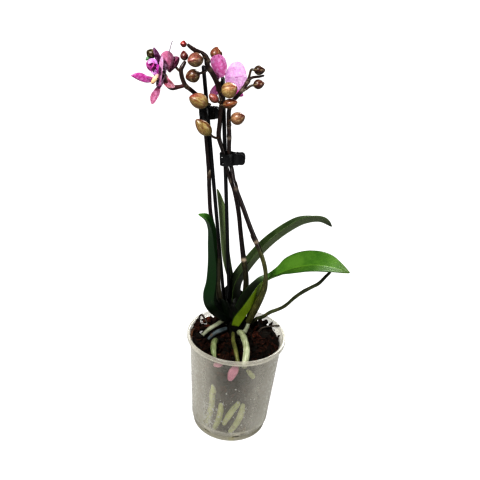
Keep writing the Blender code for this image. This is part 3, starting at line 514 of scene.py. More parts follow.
# ---- flower spikes: x, y, z, radius along each route -----------------------
SPIKE_LEFT = (
    (-12.3, 19.5, 104, 2.3), (-16, 18.6, 112, 2.8), (-21, 17.2, 132.5, 2.9),
    (-22.5, 16.8, 159, 2.3), (-23, 17, 164.5, 2.3), (-26.6, 19.4, 182.5, 1.8),
    (-31.9, 22, 202, 1.7), (-34.3, 23, 221.5, 1.7), (-36.0, 23.5, 241, 1.7),
    (-39.4, 23.7, 266, 1.65), (-42.4, 24, 284, 1.6), (-44.2, 23.8, 294, 1.6),
    (-47, 19, 301.5, 1.6), (-52.5, 9.5, 308, 1.6), (-56, 4, 311.5, 1.6),
    (-58.5, 1, 317.5, 1.6), (-59.5, 0, 323.5, 1.6), (-58, 0.5, 327, 1.5),
    (-57, 1, 329, 1.2))
SPIKE_INNER = (
    (3.6, 17.8, 104, 2.7), (4.8, 17, 114, 2.9), (5, 16, 129.5, 2.7),
    (4.2, 13.8, 146, 2.4), (1, 11, 164, 2.4), (0, 10.6, 168.5, 2.2),
    (-4, 10.4, 190, 1.9), (-7.6, 11.8, 210, 1.9), (-12.2, 14.4, 226.5, 1.9),
    (-17.2, 16.4, 238, 1.8), (-21.7, 17.3, 248.5, 1.7), (-23.5, 17.3, 256, 1.6),
    (-25.3, 17.3, 261.5, 1.65), (-28.9, 17, 271.5, 1.85), (-28.8, 16.8, 282, 1.85), (-28.5, 16.7, 292, 1.8),
    (-28.4, 16.8, 301, 1.8), (-30.7, 17, 308.5, 1.9), (-34, 15, 316.5, 2.0),
    (-37.5, 12, 322.5, 2.0), (-40.5, 9, 327, 2.0), (-41, 6, 332, 2.0),
    (-43.5, 4, 335.5, 1.9), (-48.5, 2, 337.5, 1.8), (-53, 1, 340, 1.5),
    (-54.8, 0.4, 341.4, 1.2))
SPIKE_OUTER = (
    (10, 10.5, 103, 3.2), (12, 8.5, 111, 3.6), (16.6, 4, 127, 3.4),
    (20.6, 0, 143.5, 2.7), (20.8, -3.2, 157, 1.9), (18.8, -3.4, 168, 1.8),
    (14.2, -2, 179.5, 1.9), (10.8, -0.6, 186, 2.1), (3, 3, 201, 1.9),
    (-3.6, 6, 215, 1.9), (-9.5, 8.4, 227, 1.9), (-13.9, 12.6, 237, 1.8),
    (-15.9, 15.5, 244.5, 1.7), (-17.9, 17.7, 250, 1.7), (-19.2, 19, 256, 1.7),
    (-19.9, 19.2, 262, 1.75), (-20.6, 19.2, 273.5, 1.75),
    (-21.7, 19.4, 283.5, 1.75), (-22.1, 20.5, 293, 1.7), (-19.5, 22, 300.5, 1.6),
    (-16.5, 22, 304.5, 1.6), (-12.5, 22, 310, 1.6), (-9.5, 22, 315.5, 1.5),
    (-8, 22, 318, 1.3), (-5.5, 22.5, 319.8, 1.0), (0, 24, 320.8, 0.9),
    (3, 25, 321.6, 0.8))

# ---- buds: base, tip, greatest diameter, and where the stalk leaves its spike
# name: (spike, stalk root, base, tip, diameter)
BUDS = {
    "bud_terminal_red": ("inner", None, (-55.9, -0.1, 341.9), (-60.5, -2, 342), 4.8),
    "bud_top_left": ("left", None, (-57, 1.4, 330.2), (-58.5, 3.2, 337), 6.0),
    "bud_top_centre": ("inner", (-41, 6.5, 331), (-43.9, 1.2, 333.2), (-53.7, -7.4, 330.4), 10.6),
    "bud_centre": ("inner", (-39.5, 10, 325.5), (-46, 6, 321.3), (-56, 2, 317.6), 10.2),
    "bud_top_right": ("inner", (-39, 10.5, 325), (-36.2, 30.2, 330.2), (-35.8, 31, 339.8), 9.8),
    "bud_low_left": ("inner", (-28.5, 16.6, 302), (-30.6, 11.2, 300.6), (-38.2, 8.8, 305.8), 6.6),
    "bud_low_right": ("inner", (-28, 16.5, 297), (-27.0, 10.4, 298.4), (-15.6, 7.6, 302.2), 7.6),
    "bud_cream_right": ("inner", (-28, 16.7, 304), (-27.8, 8.2, 308.6), (-16.8, 2.4, 314.0), 12.4),
    "bud_cream_left": ("left", (-44.6, 23.2, 295.5), (-38.8, 9.5, 298.5), (-52.5, 1.5, 303.5), 12.2),
    "bud_hanging": ("inner", (-28.6, 16, 271), (-35, 9, 274.5), (-47, 4, 286.5), 10.5),
    "bud_round_right": ("outer", (-21.6, 18.6, 280.5), (-19.6, 14.5, 286.5), (-9, 9.5, 291.5), 10.2),
    "bud_fork_upper": ("outer", (-9.5, 22, 316), (-5, 20, 325.8), (3.8, 18, 326.6), 7.4),
    "bud_fork_lower": ("outer", (-13, 22, 309), (-4.5, 21, 314), (4.2, 21, 316.6), 7.6),
    "bud_far_left": ("left", (-59.5, 0, 323), (-80.6, 10, 330.6), (-87, 8, 334), 7.6),
}

STALK_VIA = {"bud_far_left": ((-62.2, 5, 322.8), (-66, 11.5, 324.4), (-72.5, 12.5, 327)),
             "bud_top_right": ((-41.6, 16, 326.5), (-42.4, 24, 329))}

# ---- leaves: keel route, half width, fold and roll in degrees, thickness ----
LEAVES = {
    "leaf_front_right": dict(
        route=((0.7, 7.0, 99), (4.9, 5.6, 109), (9.9, 5.4, 120.5), (14.9, 7.2, 133),
               (19.9, 9, 145), (25.5, 9, 150.5), (33.5, 7, 156.5), (41.5, 4, 163),
               (57.5, -2, 171.5), (73.5, -8, 174.5), (90, -12, 173)),
        width=(7.0, 10.6, 12.4, 11.4, 7.0, 4.9, 8.4, 13.0, 15.6, 13.4, 2.2),
        fold=(68, 66, 62, 58, 52, 42, 31, 24, 18, 16, 14),
        roll=(2, 8, 18, 21, 14, 8, 5, 6, 7, 6, 4), thick=1.7),
    "leaf_rear_right": dict(
        route=((1.5, 21.5, 101), (1.5, 22, 112), (-0.5, 22.5, 124), (0, 23, 137), (7, 24.5, 151.5),
               (17, 27.5, 166), (27.5, 31, 177.5), (40.5, 35, 188),
               (53.5, 40, 194.5), (67.5, 44, 196), (79.5, 48, 190)),
        width=(7.5, 10.0, 11.0, 10.8, 10.8, 11.5, 12.6, 13.4, 12.8, 9.2, 1.4),
        fold=(55, 55, 52, 48, 42, 36, 30, 26, 22, 20, 18),
        roll=(10, 14, 16, 13, 7, 0, -8, -14, -18, -20, -20), thick=1.6),
    "leaf_left": dict(
        route=((-9.5, 11.5, 100), (-17, 9.5, 104.5), (-25, 7.5, 111), (-30.5, 6.2, 120), (-32, 6, 131),
               (-30.0, 6, 144), (-29.6, 6.2, 162), (-30.6, 6.2, 180),
               (-31.4, 5.6, 194), (-34.6, 4.4, 203), (-40.8, 3, 207.8)),
        width=(7.0, 9.5, 11.0, 11.5, 11.6, 10.8, 10.8, 10.4, 8.6, 6.6, 1.6),
        fold=(62, 62, 62, 60, 56, 48, 40, 34, 28, 24, 20),
        roll=(0, 0, 0, 0, 0, 0, 0, 0, 0, 0, 0), thick=1.6),
    "leaf_rear_tall": dict(
        route=((-2.5, 27.5, 104), (-5.5, 30.5, 115), (-10.5, 34.5, 130), (-16, 37.5, 145),
               (-19.5, 38.5, 160), (-22.3, 39, 181), (-25.2, 39.5, 202), (-28.5, 40, 219)),
        width=(7.0, 8.6, 9.4, 9.0, 8.8, 8.4, 7.4, 1.6),
        fold=(40, 36, 32, 28, 26, 24, 22, 18),
        roll=(0, 0, 0, 0, 0, 0, 0, 0), thick=1.5),
}

# ---- roots above the bark: x, y, z, radius ---------------------------------
ROOTS = {
    "root_front_thick": ((2.6, 4.6, 93.5, 2.6), (4.5, -1.5, 97, 2.9), (7, -10, 97.5, 3.1),
                         (9.5, -20, 96, 3.1), (10, -28, 92, 3.0), (9, -33.5, 85, 2.8)),
    "root_front_olive": ((-3.4, 4.6, 92, 1.6), (-3, -1, 95, 1.9), (-2.2, -12, 95.2, 2.0),
                         (0.5, -24, 93, 2.0), (3, -32, 87.5, 1.9), (3.4, -35, 81, 1.7)),
    "root_front_left": ((-17.4, -3.5, 87, 2.1), (-18.2, -7.5, 91, 2.5), (-19.3, -13, 92.6, 2.7),
                        (-19.2, -21, 90.5, 2.6), (-17.6, -27, 84, 2.3)),
    "root_rear_left": ((-9.6, 18, 94, 1.7), (-13, 16, 97.5, 2.0), (-19.5, 8.5, 97.4, 2.1),
                       (-26, 4.5, 94, 2.0), (-31.5, 3.5, 87.5, 1.7)),
    "root_aerial": ((8.2, 16.5, 94.5, 1.5), (13.5, 12.5, 101, 1.5), (17.4, 11.2, 106, 1.5),
                    (22.5, 9.2, 109.5, 1.55), (29, 7.2, 116.5, 1.5), (40.5, 5, 125, 1.45),
                    (48.5, 3, 136, 1.5), (55.5, 2, 143.5, 1.5), (62.5, 1, 149.5, 1.45),
                    (68, 0, 154.5, 1.4), (73.5, 0, 162.5, 1.35), (76, 0, 166, 1.1)),
}
# a dead root that loops over the bark, and a bit of twig in it
ROOT_ARCH = ((-34.8, 17.2, 87, 0.7), (-36.0, 17.8, 94.0, 0.75), (-36.2, 18.4, 98.4, 0.8),
             (-33.9, 18.5, 100.8, 0.8), (-31.3, 17.5, 97.3, 0.8), (-28.5, 15.5, 94.4, 0.75), (-25.4, 12.8, 88, 0.7))
TWIG = ((21, 16.5, 89, 0.9), (24, 16.8, 92.8, 0.9), (31, 17, 95.3, 0.85), (40, 16.5, 97.4, 0.8))

# ---- roots pressed against the inside of the wall: degrees round, height ----
WALL_ROOTS = {
    "root_wall_long": ((-119, 59), (-117.5, 54), (-119, 48), (-118.5, 41), (-121.5, 28), (-127, 11)),
    "root_wall_second": ((-104, 40.5), (-104, 32), (-107, 21), (-113, 9.5)),
    "root_wall_third": ((-78.5, 44), (-85, 37), (-91.5, 28), (-97, 19)),
    "root_wall_fourth": ((-71, 41), (-72, 32), (-77, 20.5), (-86, 10)),
}
WALL_ROOT_R = 2.5

# ---- petals that fell in between the bark and the wall ----------------------
FALLEN = {"fallen_petal_left": (-110, 87.0, 4.0, 6.5), "fallen_petal_front": (-90.5, 83.0, 4.2, 14.5)}

# ---- flowers: tepal base, middle, tip, half width, direction of its face ----
FLOWER_LEFT = {
    "flower_left_sepal_dorsal": ((-74.9, -1.0, 323.8), (-76.6, -1.4, 331.3), (-79.8, -2.4, 337.8), 2.6, (-0.35, -0.85, -0.3), 0.5),
    "flower_left_petal_upper": ((-69.4, -0.4, 322.6), (-69.5, -0.2, 328.4), (-70.1, 0.2, 336.2), 5.4, (-0.35, 0.9, -0.1), 1.2),
    "flower_left_petal_rear": ((-69.0, 3.6, 320.6), (-65.9, 5.2, 326.9), (-62.1, 6.2, 331.7), 4.0, (-0.6, 0.7, -0.3), 1.0),
    "flower_left_petal_front": ((-77.2, -4.4, 315.0), (-84.6, -7.8, 313.6), (-94.4, -12.0, 317.6), 4.4, (-0.2, 0.6, 0.8), 2.0),
    "flower_left_sepal_lower": ((-74.8, -1.8, 310.6), (-77.2, -2.5, 304.1), (-80.5, -3.6, 296.9), 3.6, (-0.45, -0.85, 0.25), 0.8),
    "flower_left_lip": ((-79.6, -4.6, 320.6), (-80.6, -5.4, 324.0), (-78.8, -6.6, 328.4), 4.2, (-0.8, -0.6, -0.1), 1.4),
}
FLOWER_RIGHT = {
    "flower_right_sepal_dorsal": ((-29.7, 25.6, 317.4), (-32.6, 25.0, 325.4), (-35.8, 23.2, 334.0), 6.0, (0.1, 0.95, -0.2), 1.0),
    "flower_right_petal_left": ((-32.6, 27.6, 315.4), (-37.0, 32.0, 320.0), (-38.6, 38.0, 326.0), 6.0, (0.5, 0.8, 0.2), 1.0),
    "flower_right_petal_right": ((-27.4, 28.2, 316.9), (-19.5, 29.8, 317.9), (-10.4, 29.4, 320.0), 10.8, (-0.05, 0.97, 0.1), 0.3),
    "flower_right_sepal_lower_left": ((-32.7, 25.6, 311.2), (-34.8, 25.0, 306.6), (-37.3, 23.8, 301.6), 3.5, (0.1, 0.95, 0.1), 0.9),
    "flower_right_sepal_lower_right": ((-26.7, 25.4, 311.0), (-19.6, 27.0, 306.6), (-11.8, 28.0, 304.4), 3.0, (0.0, 0.97, 0.1), 0.9),
    "flower_right_lip": ((-31.0, 28.8, 311.3), (-31.0, 34.0, 308.2), (-30.5, 39.0, 309.4), 3.2, (0.1, 0.3, 0.9), 1.4),
}
TEPAL_THICK = 0.8

# ---- sprung claw clips: centre, bore radius, lean of the rod ---------------
CLIP_H = 10.0
CLIP_WALL = 1.1
# centre of the claws, bore radius, lever length
CLIPS = {"clip_left": ((-41.6, 25.1, 288.2), 4.0, 5.8), "clip_right": ((-20.7, 18.7, 253.4), 5.2, 7.4)}
PIN_R = 0.65
KNUCKLE_R = 1.55
LEVER_SPREAD = 2.6

LIP = POT_HEIGHT - RIM_DROP


def wall_inner(z):
    """Inner radius of the pot wall at a height."""
    low, high = WALL_LOW_R - WALL, WALL_TOP_R - WALL
    return low + (high - low) * (z - FOOT_H) / (LIP - FOOT_H)


def on_wall(degrees, z, inset):
    r = wall_inner(max(z, FOOT_H)) - inset
    if z < FOOT_H:
        r = FOOT_R - WALL - inset
    a = math.radians(degrees)
    return (r * math.cos(a), r * math.sin(a), z)


# ============================================================ camera, light, floor
def make_camera():
    tilt, roll = math.radians(23.47), math.radians(5.0)
    back = Vector((0, -math.cos(tilt), math.sin(tilt)))
    place = Vector((-4.25, 0, 188.9)) * MM + 0.4589 * back
    right = Vector((1, 0, 0))
    up = right.cross(-back)
    c, s = math.cos(roll), math.sin(roll)
    x, y = c * right + s * up, -s * right + c * up
    data = bpy.data.cameras.new("camera")
    data.sensor_width = 36.0
    data.lens = 40.5
    data.clip_start = 0.01
    cam = bpy.data.objects.new("camera", data)
    bpy.context.scene.collection.objects.link(cam)
    cam.matrix_world = Matrix(((x.x, y.x, back.x, place.x), (x.y, y.y, back.y, place.y),
                               (x.z, y.z, back.z, place.z), (0, 0, 0, 1)))
    bpy.context.scene.camera = cam


def area_light(name, place, aim, size, power, colour=(1, 1, 1)):
    data = bpy.data.lights.new(name, "AREA")
    data.shape = "DISK"
    data.size = size
    data.energy = power
    data.color = colour
    obj = bpy.data.objects.new(name, data)
    bpy.context.scene.collection.objects.link(obj)
    obj.location = place
    obj.rotation_euler = (Vector(aim) - Vector(place)).to_track_quat("-Z", "Y").to_euler()
    return obj


def make_studio():
    bpy.context.scene.view_settings.view_transform = "Standard"
    bpy.context.scene.view_settings.look = "Medium High Contrast"
    bpy.context.scene.view_settings.gamma = 0.78
    world = bpy.data.worlds.new("studio")
    world.use_nodes = True
    tree = world.node_tree
    back = tree.nodes["Background"]
    lit = tree.nodes.new("ShaderNodeBackground")
    path = tree.nodes.new("ShaderNodeLightPath")
    mix = tree.nodes.new("ShaderNodeMixShader")
    back.inputs["Color"].default_value = (1, 1, 1, 1)
    back.inputs["Strength"].default_value = 0.10
    lit.inputs["Color"].default_value = (1, 1, 1, 1)
    lit.inputs["Strength"].default_value = 1.05
    tree.links.new(path.outputs["Is Camera Ray"], mix.inputs[0])
    tree.links.new(back.outputs[0], mix.inputs[1])
    tree.links.new(lit.outputs[0], mix.inputs[2])
    tree.links.new(mix.outputs[0], tree.nodes["World Output"].inputs["Surface"])
    bpy.context.scene.world = world
    area_light("key", (-0.34, -0.62, 0.80), (0, 0, 0.18), 0.34, 11.5)
    area_light("fill", (0.62, -0.42, 0.42), (0, 0, 0.16), 0.5, 2.4)
    area_light("rear", (0.25, 0.65, 0.72), (0, 0, 0.2), 0.4, 4.6)

    verts, n = [], 96
    radii = (0.05, 0.2, 0.6, 1.6, 4.0)
    verts.append((0, 0, 0))
    for r in radii:
        verts += [(r * math.cos(2 * math.pi * k / n), r * math.sin(2 * math.pi * k / n), 0) for k in range(n)]
    faces = [(0, 1 + k, 1 + (k + 1) % n) for k in range(n)]
    for i in range(len(radii) - 1):
        a = 1 + i * n
        faces += [(a + k, a + n + k, a + n + (k + 1) % n, a + (k + 1) % n) for k in range(n)]
    mesh = bpy.data.meshes.new("floor")
    mesh.from_pydata(verts, [], faces)
    s = Shader("floor_white", Roughness=0.75)
    grain = s.noise(900, 2)
    s.set("Base Color", s.ramp(grain, [(0.3, (0.36, 0.36, 0.36)), (0.7, (0.40, 0.40, 0.40))]))
    s.bump(grain, 0.03, 0.2)
    glow = s.node("ShaderNodeEmission")
    glow.inputs["Color"].default_value = (1, 1, 1, 1)
    glow.inputs["Strength"].default_value = 1.06
    ray = s.node("ShaderNodeLightPath")
    blend = s.node("ShaderNodeMixShader")
    s.put(blend.inputs[0], s.math("MULTIPLY", ray.outputs["Is Camera Ray"], 0.94))
    s.tree.links.new(s.bsdf.outputs[0], blend.inputs[1])
    s.tree.links.new(glow.outputs[0], blend.inputs[2])
    s.tree.links.new(blend.outputs[0], s.out.inputs["Surface"])
    mesh.materials.append(s.mat)
    floor = bpy.data.objects.new("floor", mesh)
    floor.location = (0, 0, -0.0002)
    bpy.context.scene.collection.objects.link(floor)


# ============================================================ pot
def box_cutter(name, verts, faces):
    mesh = bpy.data.meshes.new(name)
    mesh.from_pydata([tuple(v) for v in verts], [], faces)
    bm = bmesh.new()
    bm.from_mesh(mesh)
    bmesh.ops.recalc_face_normals(bm, faces=bm.faces)
    bm.to_mesh(mesh)
    bm.free()
    obj = bpy.data.objects.new(name, mesh)
    bpy.context.scene.collection.objects.link(obj)
    return obj


def prism(name, outline, low, high, axis="Z"):
    n = len(outline)
    verts = [(u, v, low) for u, v in outline] + [(u, v, high) for u, v in outline]
    faces = [tuple(range(n - 1, -1, -1)), tuple(range(n, 2 * n))]
    faces += [(k, (k + 1) % n, n + (k + 1) % n, n + k) for k in range(n)]
    obj = box_cutter(name, verts, faces)
    if axis == "Y":
        obj.data.transform(Matrix.Rotation(math.radians(90), 4, "X"))
    return obj


def boolean(obj, others, operation):
    """Applies an exact Boolean with each helper, then deletes the helpers."""
    for other in others:
        mod = obj.modifiers.new(operation, "BOOLEAN")
        mod.operation = operation
        mod.solver = "EXACT"
        mod.object = other
    depsgraph = bpy.context.evaluated_depsgraph_get()
    mesh = bpy.data.meshes.new_from_object(obj.evaluated_get(depsgraph))
    mats = list(obj.data.materials)
    obj.modifiers.clear()
    old = obj.data
    obj.data = mesh
    bpy.data.meshes.remove(old)
    mesh.materials.clear()
    for mat in mats:
        mesh.materials.append(mat)
    for other in others:
        bpy.data.objects.remove(other, do_unlink=True)
    return obj


def circle(u, v, r, sides):
    return [(u + r * math.cos(2 * math.pi * k / sides), v + r * math.sin(2 * math.pi * k / sides))
            for k in range(sides)]


def pot_plastic():
    """Milky see-through polypropylene: haze, drawn streaks, mineral film and scuffs."""
    s = Shader("pot_plastic", Roughness=0.24, IOR=1.49)
    at = s.coords()
    haze = s.noise(38, 4, 0.6)
    streak = s.noise(60, 3, 0.55, s.mapped(at, (1, 1, 0.06)))
    film = s.noise(420, 5, 0.7)
    height = s.node("ShaderNodeSeparateXYZ")
    s.put(height.inputs[0], at)
    low = s.band(height.outputs["Z"], 0.0, 0.035, 1.0, 0.0)
    colour = s.ramp(s.math("MULTIPLY_ADD", streak, 0.5, s.math("MULTIPLY", haze, 0.5)),
                    [(0.3, srgb(200, 196, 184)), (0.7, srgb(228, 225, 214))])
    colour = s.mix(s.band(height.outputs["Z"], 0.0060, 0.0085, 0.85, 0.0), colour, srgb(158, 154, 138))
    stain = s.math("MULTIPLY", s.band(s.noise(55, 3, 0.6), 0.52, 0.72), s.math("MULTIPLY", low, 0.45))
    s.set("Base Color", s.mix(stain, colour, srgb(176, 170, 120)))
    s.set("Roughness", s.ramp(film, [(0.25, 0.16), (0.75, 0.36)]))
    s.bump(s.noise(120, 3), 0.10, 0.35)
    s.bump(film, 0.06, 0.1)
    clear = s.node("ShaderNodeBsdfTransparent")
    clear.inputs["Color"].default_value = (0.97, 0.965, 0.95, 1)
    shine = s.node("ShaderNodeBsdfPrincipled")
    shine.inputs["Base Color"].default_value = (0, 0, 0, 1)
    shine.inputs["IOR"].default_value = 1.49
    s.put(shine.inputs["Roughness"], s.ramp(film, [(0.25, 0.10), (0.75, 0.22)]))
    both = s.node("ShaderNodeAddShader")
    s.tree.links.new(clear.outputs[0], both.inputs[0])
    s.tree.links.new(shine.outputs[0], both.inputs[1])
    edge = s.node("ShaderNodeLayerWeight")
    edge.inputs["Blend"].default_value = 0.45
    milk = s.ramp(edge.outputs["Facing"], [(0.05, (0.004,) * 3), (0.20, (0.042,) * 3), (0.38, (0.32,) * 3),
                                           (0.75, (0.66,) * 3)])
    milk = s.math("ADD", milk, s.math("MULTIPLY", s.band(haze, 0.50, 0.75), 0.025))
    milk = s.math("ADD", milk, s.math("MULTIPLY", s.band(streak, 0.55, 0.8), 0.04))
    foot = s.band(height.outputs["Z"], 0.0062, 0.0078, 0.70, 0.0)
    ring = s.band(s.math("SINE", s.math("MULTIPLY", height.outputs["Z"], 4200.0)), 0.45, 0.85, 0.0, 0.8)
    ring = s.math("MULTIPLY", ring, s.band(height.outputs["Z"], 0.0045, 0.0070, 0.0, 1.0))
    ring = s.math("MULTIPLY", ring, s.band(height.outputs["Z"], 0.0105, 0.0120, 1.0, 0.0))
    milk = s.math("ADD", s.math("ADD", milk, foot), ring)
    milk = s.math("ADD", milk, s.band(height.outputs["Z"], 0.0905, 0.0925, 0.0, 0.20), clamp=True)
    m = s.node("ShaderNodeMixShader")
    s.put(m.inputs[0], milk)
    s.tree.links.new(both.outputs[0], m.inputs[1])
    s.tree.links.new(s.bsdf.outputs[0], m.inputs[2])
    s.tree.links.new(m.outputs[0], s.out.inputs["Surface"])
    return s.mat


def make_pot():
    foot_in = FOOT_R - WALL
    wall = [(WALL_LOW_R + (WALL_TOP_R - WALL_LOW_R) * t, FOOT_H + 1.0 + (LIP - 1.5 - FOOT_H) * t)
            for t in np.linspace(0, 1, 15)]
    inner = [(WALL_TOP_R - WALL + (WALL_LOW_R - WALL_TOP_R) * t, LIP - 0.9 + (FOOT_H + 2.0 - LIP + 0.9) * t)
             for t in np.linspace(0, 1, 15)]
    profile = [(0, 0), (FLOOR_PAD_R, 0), (FLOOR_PAD_R + 0.5, 0.25), (FLOOR_PAD_R + 1.2, FLOOR_RISE), (20, FLOOR_RISE),
               (28, FLOOR_RISE), (28.8, 0.25), (29.2, 0), (FOOT_R - 0.9, 0), (FOOT_R - 0.45, 0.08),
               (FOOT_R - 0.15, 0.4), (FOOT_R, 1.0), (FOOT_R + 0.15, 3.4), (FOOT_R + 0.3, FOOT_H - 0.8),
               (FOOT_R + 0.45, FOOT_H - 0.35), (WALL_LOW_R - 0.5, FOOT_H - 0.1), (WALL_LOW_R - 0.15, FOOT_H + 0.3)]
    profile += wall
    profile += [(WALL_TOP_R + 0.15, LIP - 0.15), (WALL_TOP_R + 0.6, LIP), (RIM_R - 0.5, LIP + 0.02),
                (RIM_R - 0.15, LIP + 0.15), (RIM_R, LIP + 0.6), (RIM_R, LIP + 2.0), (RIM_R, POT_HEIGHT - 0.8),
                (RIM_R - 0.18, POT_HEIGHT - 0.25), (RIM_R - 0.6, POT_HEIGHT), (MOUTH_R + 0.9, POT_HEIGHT),
                (MOUTH_R + 0.25, POT_HEIGHT - 0.1), (MOUTH_R - 0.1, POT_HEIGHT - 0.5), (MOUTH_R - 0.3, LIP + 2.0),
                (MOUTH_R - 0.5, LIP + 0.9), (WALL_TOP_R - WALL + 0.35, LIP - 0.1)]
    profile += inner
    profile += [(foot_in - 0.4, FOOT_H + 0.2), (foot_in - 0.6, 4.0), (foot_in - 0.7, 2.0), (foot_in - 1.0, 1.4),
                (foot_in - 1.6, 1.2), (30.4, 1.2), (29.0, FLOOR_RISE + 1.2), (20, FLOOR_RISE + 1.2),
                (FLOOR_PAD_R - 0.2, FLOOR_RISE + 1.2), (FLOOR_PAD_R - 1.2, 1.2), (0, 1.2)]
    verts, faces = lathe_shell(profile, 144)
    pot = box_cutter("pot_wall", verts, faces)
    pot.data.materials.append(pot_plastic())
    cutters = []
    for k in range(DRAIN_COUNT):
        a = 2 * math.pi * (k + 0.43) / DRAIN_COUNT
        cutters.append(prism(f"cut_drain_{k}", circle(DRAIN_CIRCLE_R * math.cos(a), DRAIN_CIRCLE_R * math.sin(a),
                                                      DRAIN_R, 28), -2, 6))
    for k in range(SLOT_COUNT):
        a = 2 * math.pi * (k + 0.28) / SLOT_COUNT
        w, c = SLOT_W / 2, 0.6
        low, high = SLOT_LOW, SLOT_LOW + SLOT_H
        side = [(-w + c, low), (w - c, low), (w, low + c), (w, high - c), (w - c, high), (-w + c, high),
                (-w, high - c), (-w, low + c)]
        n = len(side)
        verts = [(30.5, y, z) for y, z in side] + [(40, y, z) for y, z in side]
        faces = [tuple(range(n)), tuple(range(2 * n - 1, n - 1, -1))]
        faces += [(i, n + i, n + (i + 1) % n, (i + 1) % n) for i in range(n)]
        cut = box_cutter(f"cut_slot_{k}", verts, faces)
        cut.data.transform(Matrix.Rotation(a, 4, "Z"))
        cutters.append(cut)
    boolean(pot, cutters, "DIFFERENCE")
    pot.data.transform(Matrix.Scale(MM, 4))
    pot.data.shade_smooth()
    pot.data.set_sharp_from_angle(angle=math.radians(42))
    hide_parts("pot")
    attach(pot, ROOT)
    make_droplets()


def make_droplets():
    """Condensation on the inside of the wall."""
    rng = random.Random(41)
    build = Build()
    s = Shader("water", Roughness=0.04, IOR=1.33, Alpha=0.50)
    s.set("Base Color", s.ramp(s.noise(700, 2), [(0.3, (0.82, 0.84, 0.84)), (0.7, (0.96, 0.97, 0.97))]))
    rings, sides = 3, 9
    for i in range(520):
        if i < 240:
            deg, z = rng.gauss(-128, 9), rng.uniform(10, 40)
        else:
            deg, z = rng.uniform(-190, 10), rng.uniform(10, 78) ** 0.96
        r0 = abs(rng.gauss(0, 0.30)) + 0.22
        c = np.array(on_wall(deg, z, 0.02))
        out = unit([c[0], c[1], 0])
        side = np.array([-out[1], out[0], 0.0])
        stretch = rng.uniform(1.0, 1.5)
        verts, faces = [], []
        for q in range(rings):
            t = math.radians(12 + 30 * q)
            for k in range(sides):
                a = 2 * math.pi * k / sides
                verts.append(c + side * (r0 * math.cos(t) * math.cos(a)) + np.array([0, 0, 1.0])
                             * (r0 * stretch * math.cos(t) * math.sin(a)) - out * (0.16 * math.sin(t)))
        verts.append(c - out * 0.17)
        verts.append(c)
        faces = grid_faces(rings, sides)
        faces += [((rings - 1) * sides + k, (rings - 1) * sides + (k + 1) % sides, rings * sides) for k in range(sides)]
        faces += [((k + 1) % sides, k, rings * sides + 1) for k in range(sides)]
        build.add(verts, faces)
    build.piece("pot_condensation", s.mat, slot="clear_plastic")


# ============================================================ potting bark
HEAPS = ((-35.5, 14, 8.5, 7.5), (-30, 20, 7.5, 6.5), (-40, 4, 5.0, 5.0), (27.5, 17, 6.0, 8.0), (36.5, 5, 2.5, 6.0),
         (-12, 12, 4.5, 6.0), (10, 24, 4.5, 8.0), (-12, 30, 5.0, 9.0))


def bark_top(x, y):
    lump = 0.9 * math.sin(0.31 * x + 0.7) * math.cos(0.27 * y - 0.4) + 0.6 * math.sin(0.53 * x - 0.47 * y + 1.1)
    heap = 0.0
    for hx, hy, rise, wide in HEAPS:
        heap = max(heap, rise * math.exp(-((x - hx) ** 2 + (y - hy) ** 2) / (2 * wide * wide)))
    return BARK_TOP + 0.035 * y - 0.02 * x + lump + heap


def chip_shapes(rng, count):
    """Split, layered lumps of bark inside a unit box, long in x and thin in z."""
    out = []
    for c in range(count):
        bm = bmesh.new()
        for _ in range(rng.randint(11, 16)):
            v = Vector((rng.gauss(0, 1), rng.gauss(0, 1), rng.gauss(0, 1))).normalized()
            v /= max(abs(v.x), abs(v.y), abs(v.z)) ** 0.72
            bm.verts.new(v * rng.uniform(0.82, 1.0))
        hull = bmesh.ops.convex_hull(bm, input=bm.verts)
        bmesh.ops.delete(bm, geom=[g for g in hull["geom_interior"] if isinstance(g, bmesh.types.BMVert)], context="VERTS")
        bmesh.ops.triangulate(bm, faces=bm.faces)
        bmesh.ops.subdivide_edges(bm, edges=[e for e in bm.edges if e.calc_length() > 0.42], cuts=1, use_grid_fill=True)
        bmesh.ops.triangulate(bm, faces=bm.faces)
        bm.verts.index_update()
        v = np.array([p.co[:] for p in bm.verts])
        n = np.array([p.normal[:] for p in bm.verts])
        faces = [tuple(p.index for p in f.verts) for f in bm.faces]
        bm.free()
        ridge = fbm(v * [0.5, 1.6, 1.2], 0.42, 2, 60 + c) * 0.11
        step = np.where(np.sin(v[:, 2] * 9 + fbm(v, 1.0, 1, 90 + c) * 3) > 0, 1.05, 0.95)
        v = v + n * ridge[:, None]
        v[:, :2] *= step[:, None]
        out.append((v, faces))
    return out


def obstacles():
    """Centre-lines, with radii, that the bark keeps clear of."""
    rows = []
    for route in ROOTS.values():
        rows.append(smooth_route(route, 1.5))
    for route in (ROOT_ARCH, TWIG, CROWN):
        rows.append(smooth_route(route, 1.5))
    for marks in WALL_ROOTS.values():
        rows.append(smooth_route([(*on_wall(d, z, WALL_ROOT_R + 0.6), WALL_ROOT_R + 0.1) for d, z in marks], 1.5))
    for rod in (STAKE_LEFT, STAKE_RIGHT):
        rows.append(smooth_route([(*rod[0], STAKE_R), (*rod[1], STAKE_R)], 3.0))
    for route in (SPIKE_LEFT, SPIKE_INNER, SPIKE_OUTER):
        rows.append(smooth_route([p[:4] for p in route[:2]], 1.5))
    for d in LEAVES.values():
        rows.append(smooth_route([(*p, w * 0.8) for p, w in zip(d["route"][:3], d["width"][:3])], 1.5))
    for p in EXTRA_ROOTS.values():
        rows.append(smooth_route(p, 1.5))
    return np.vstack(rows)


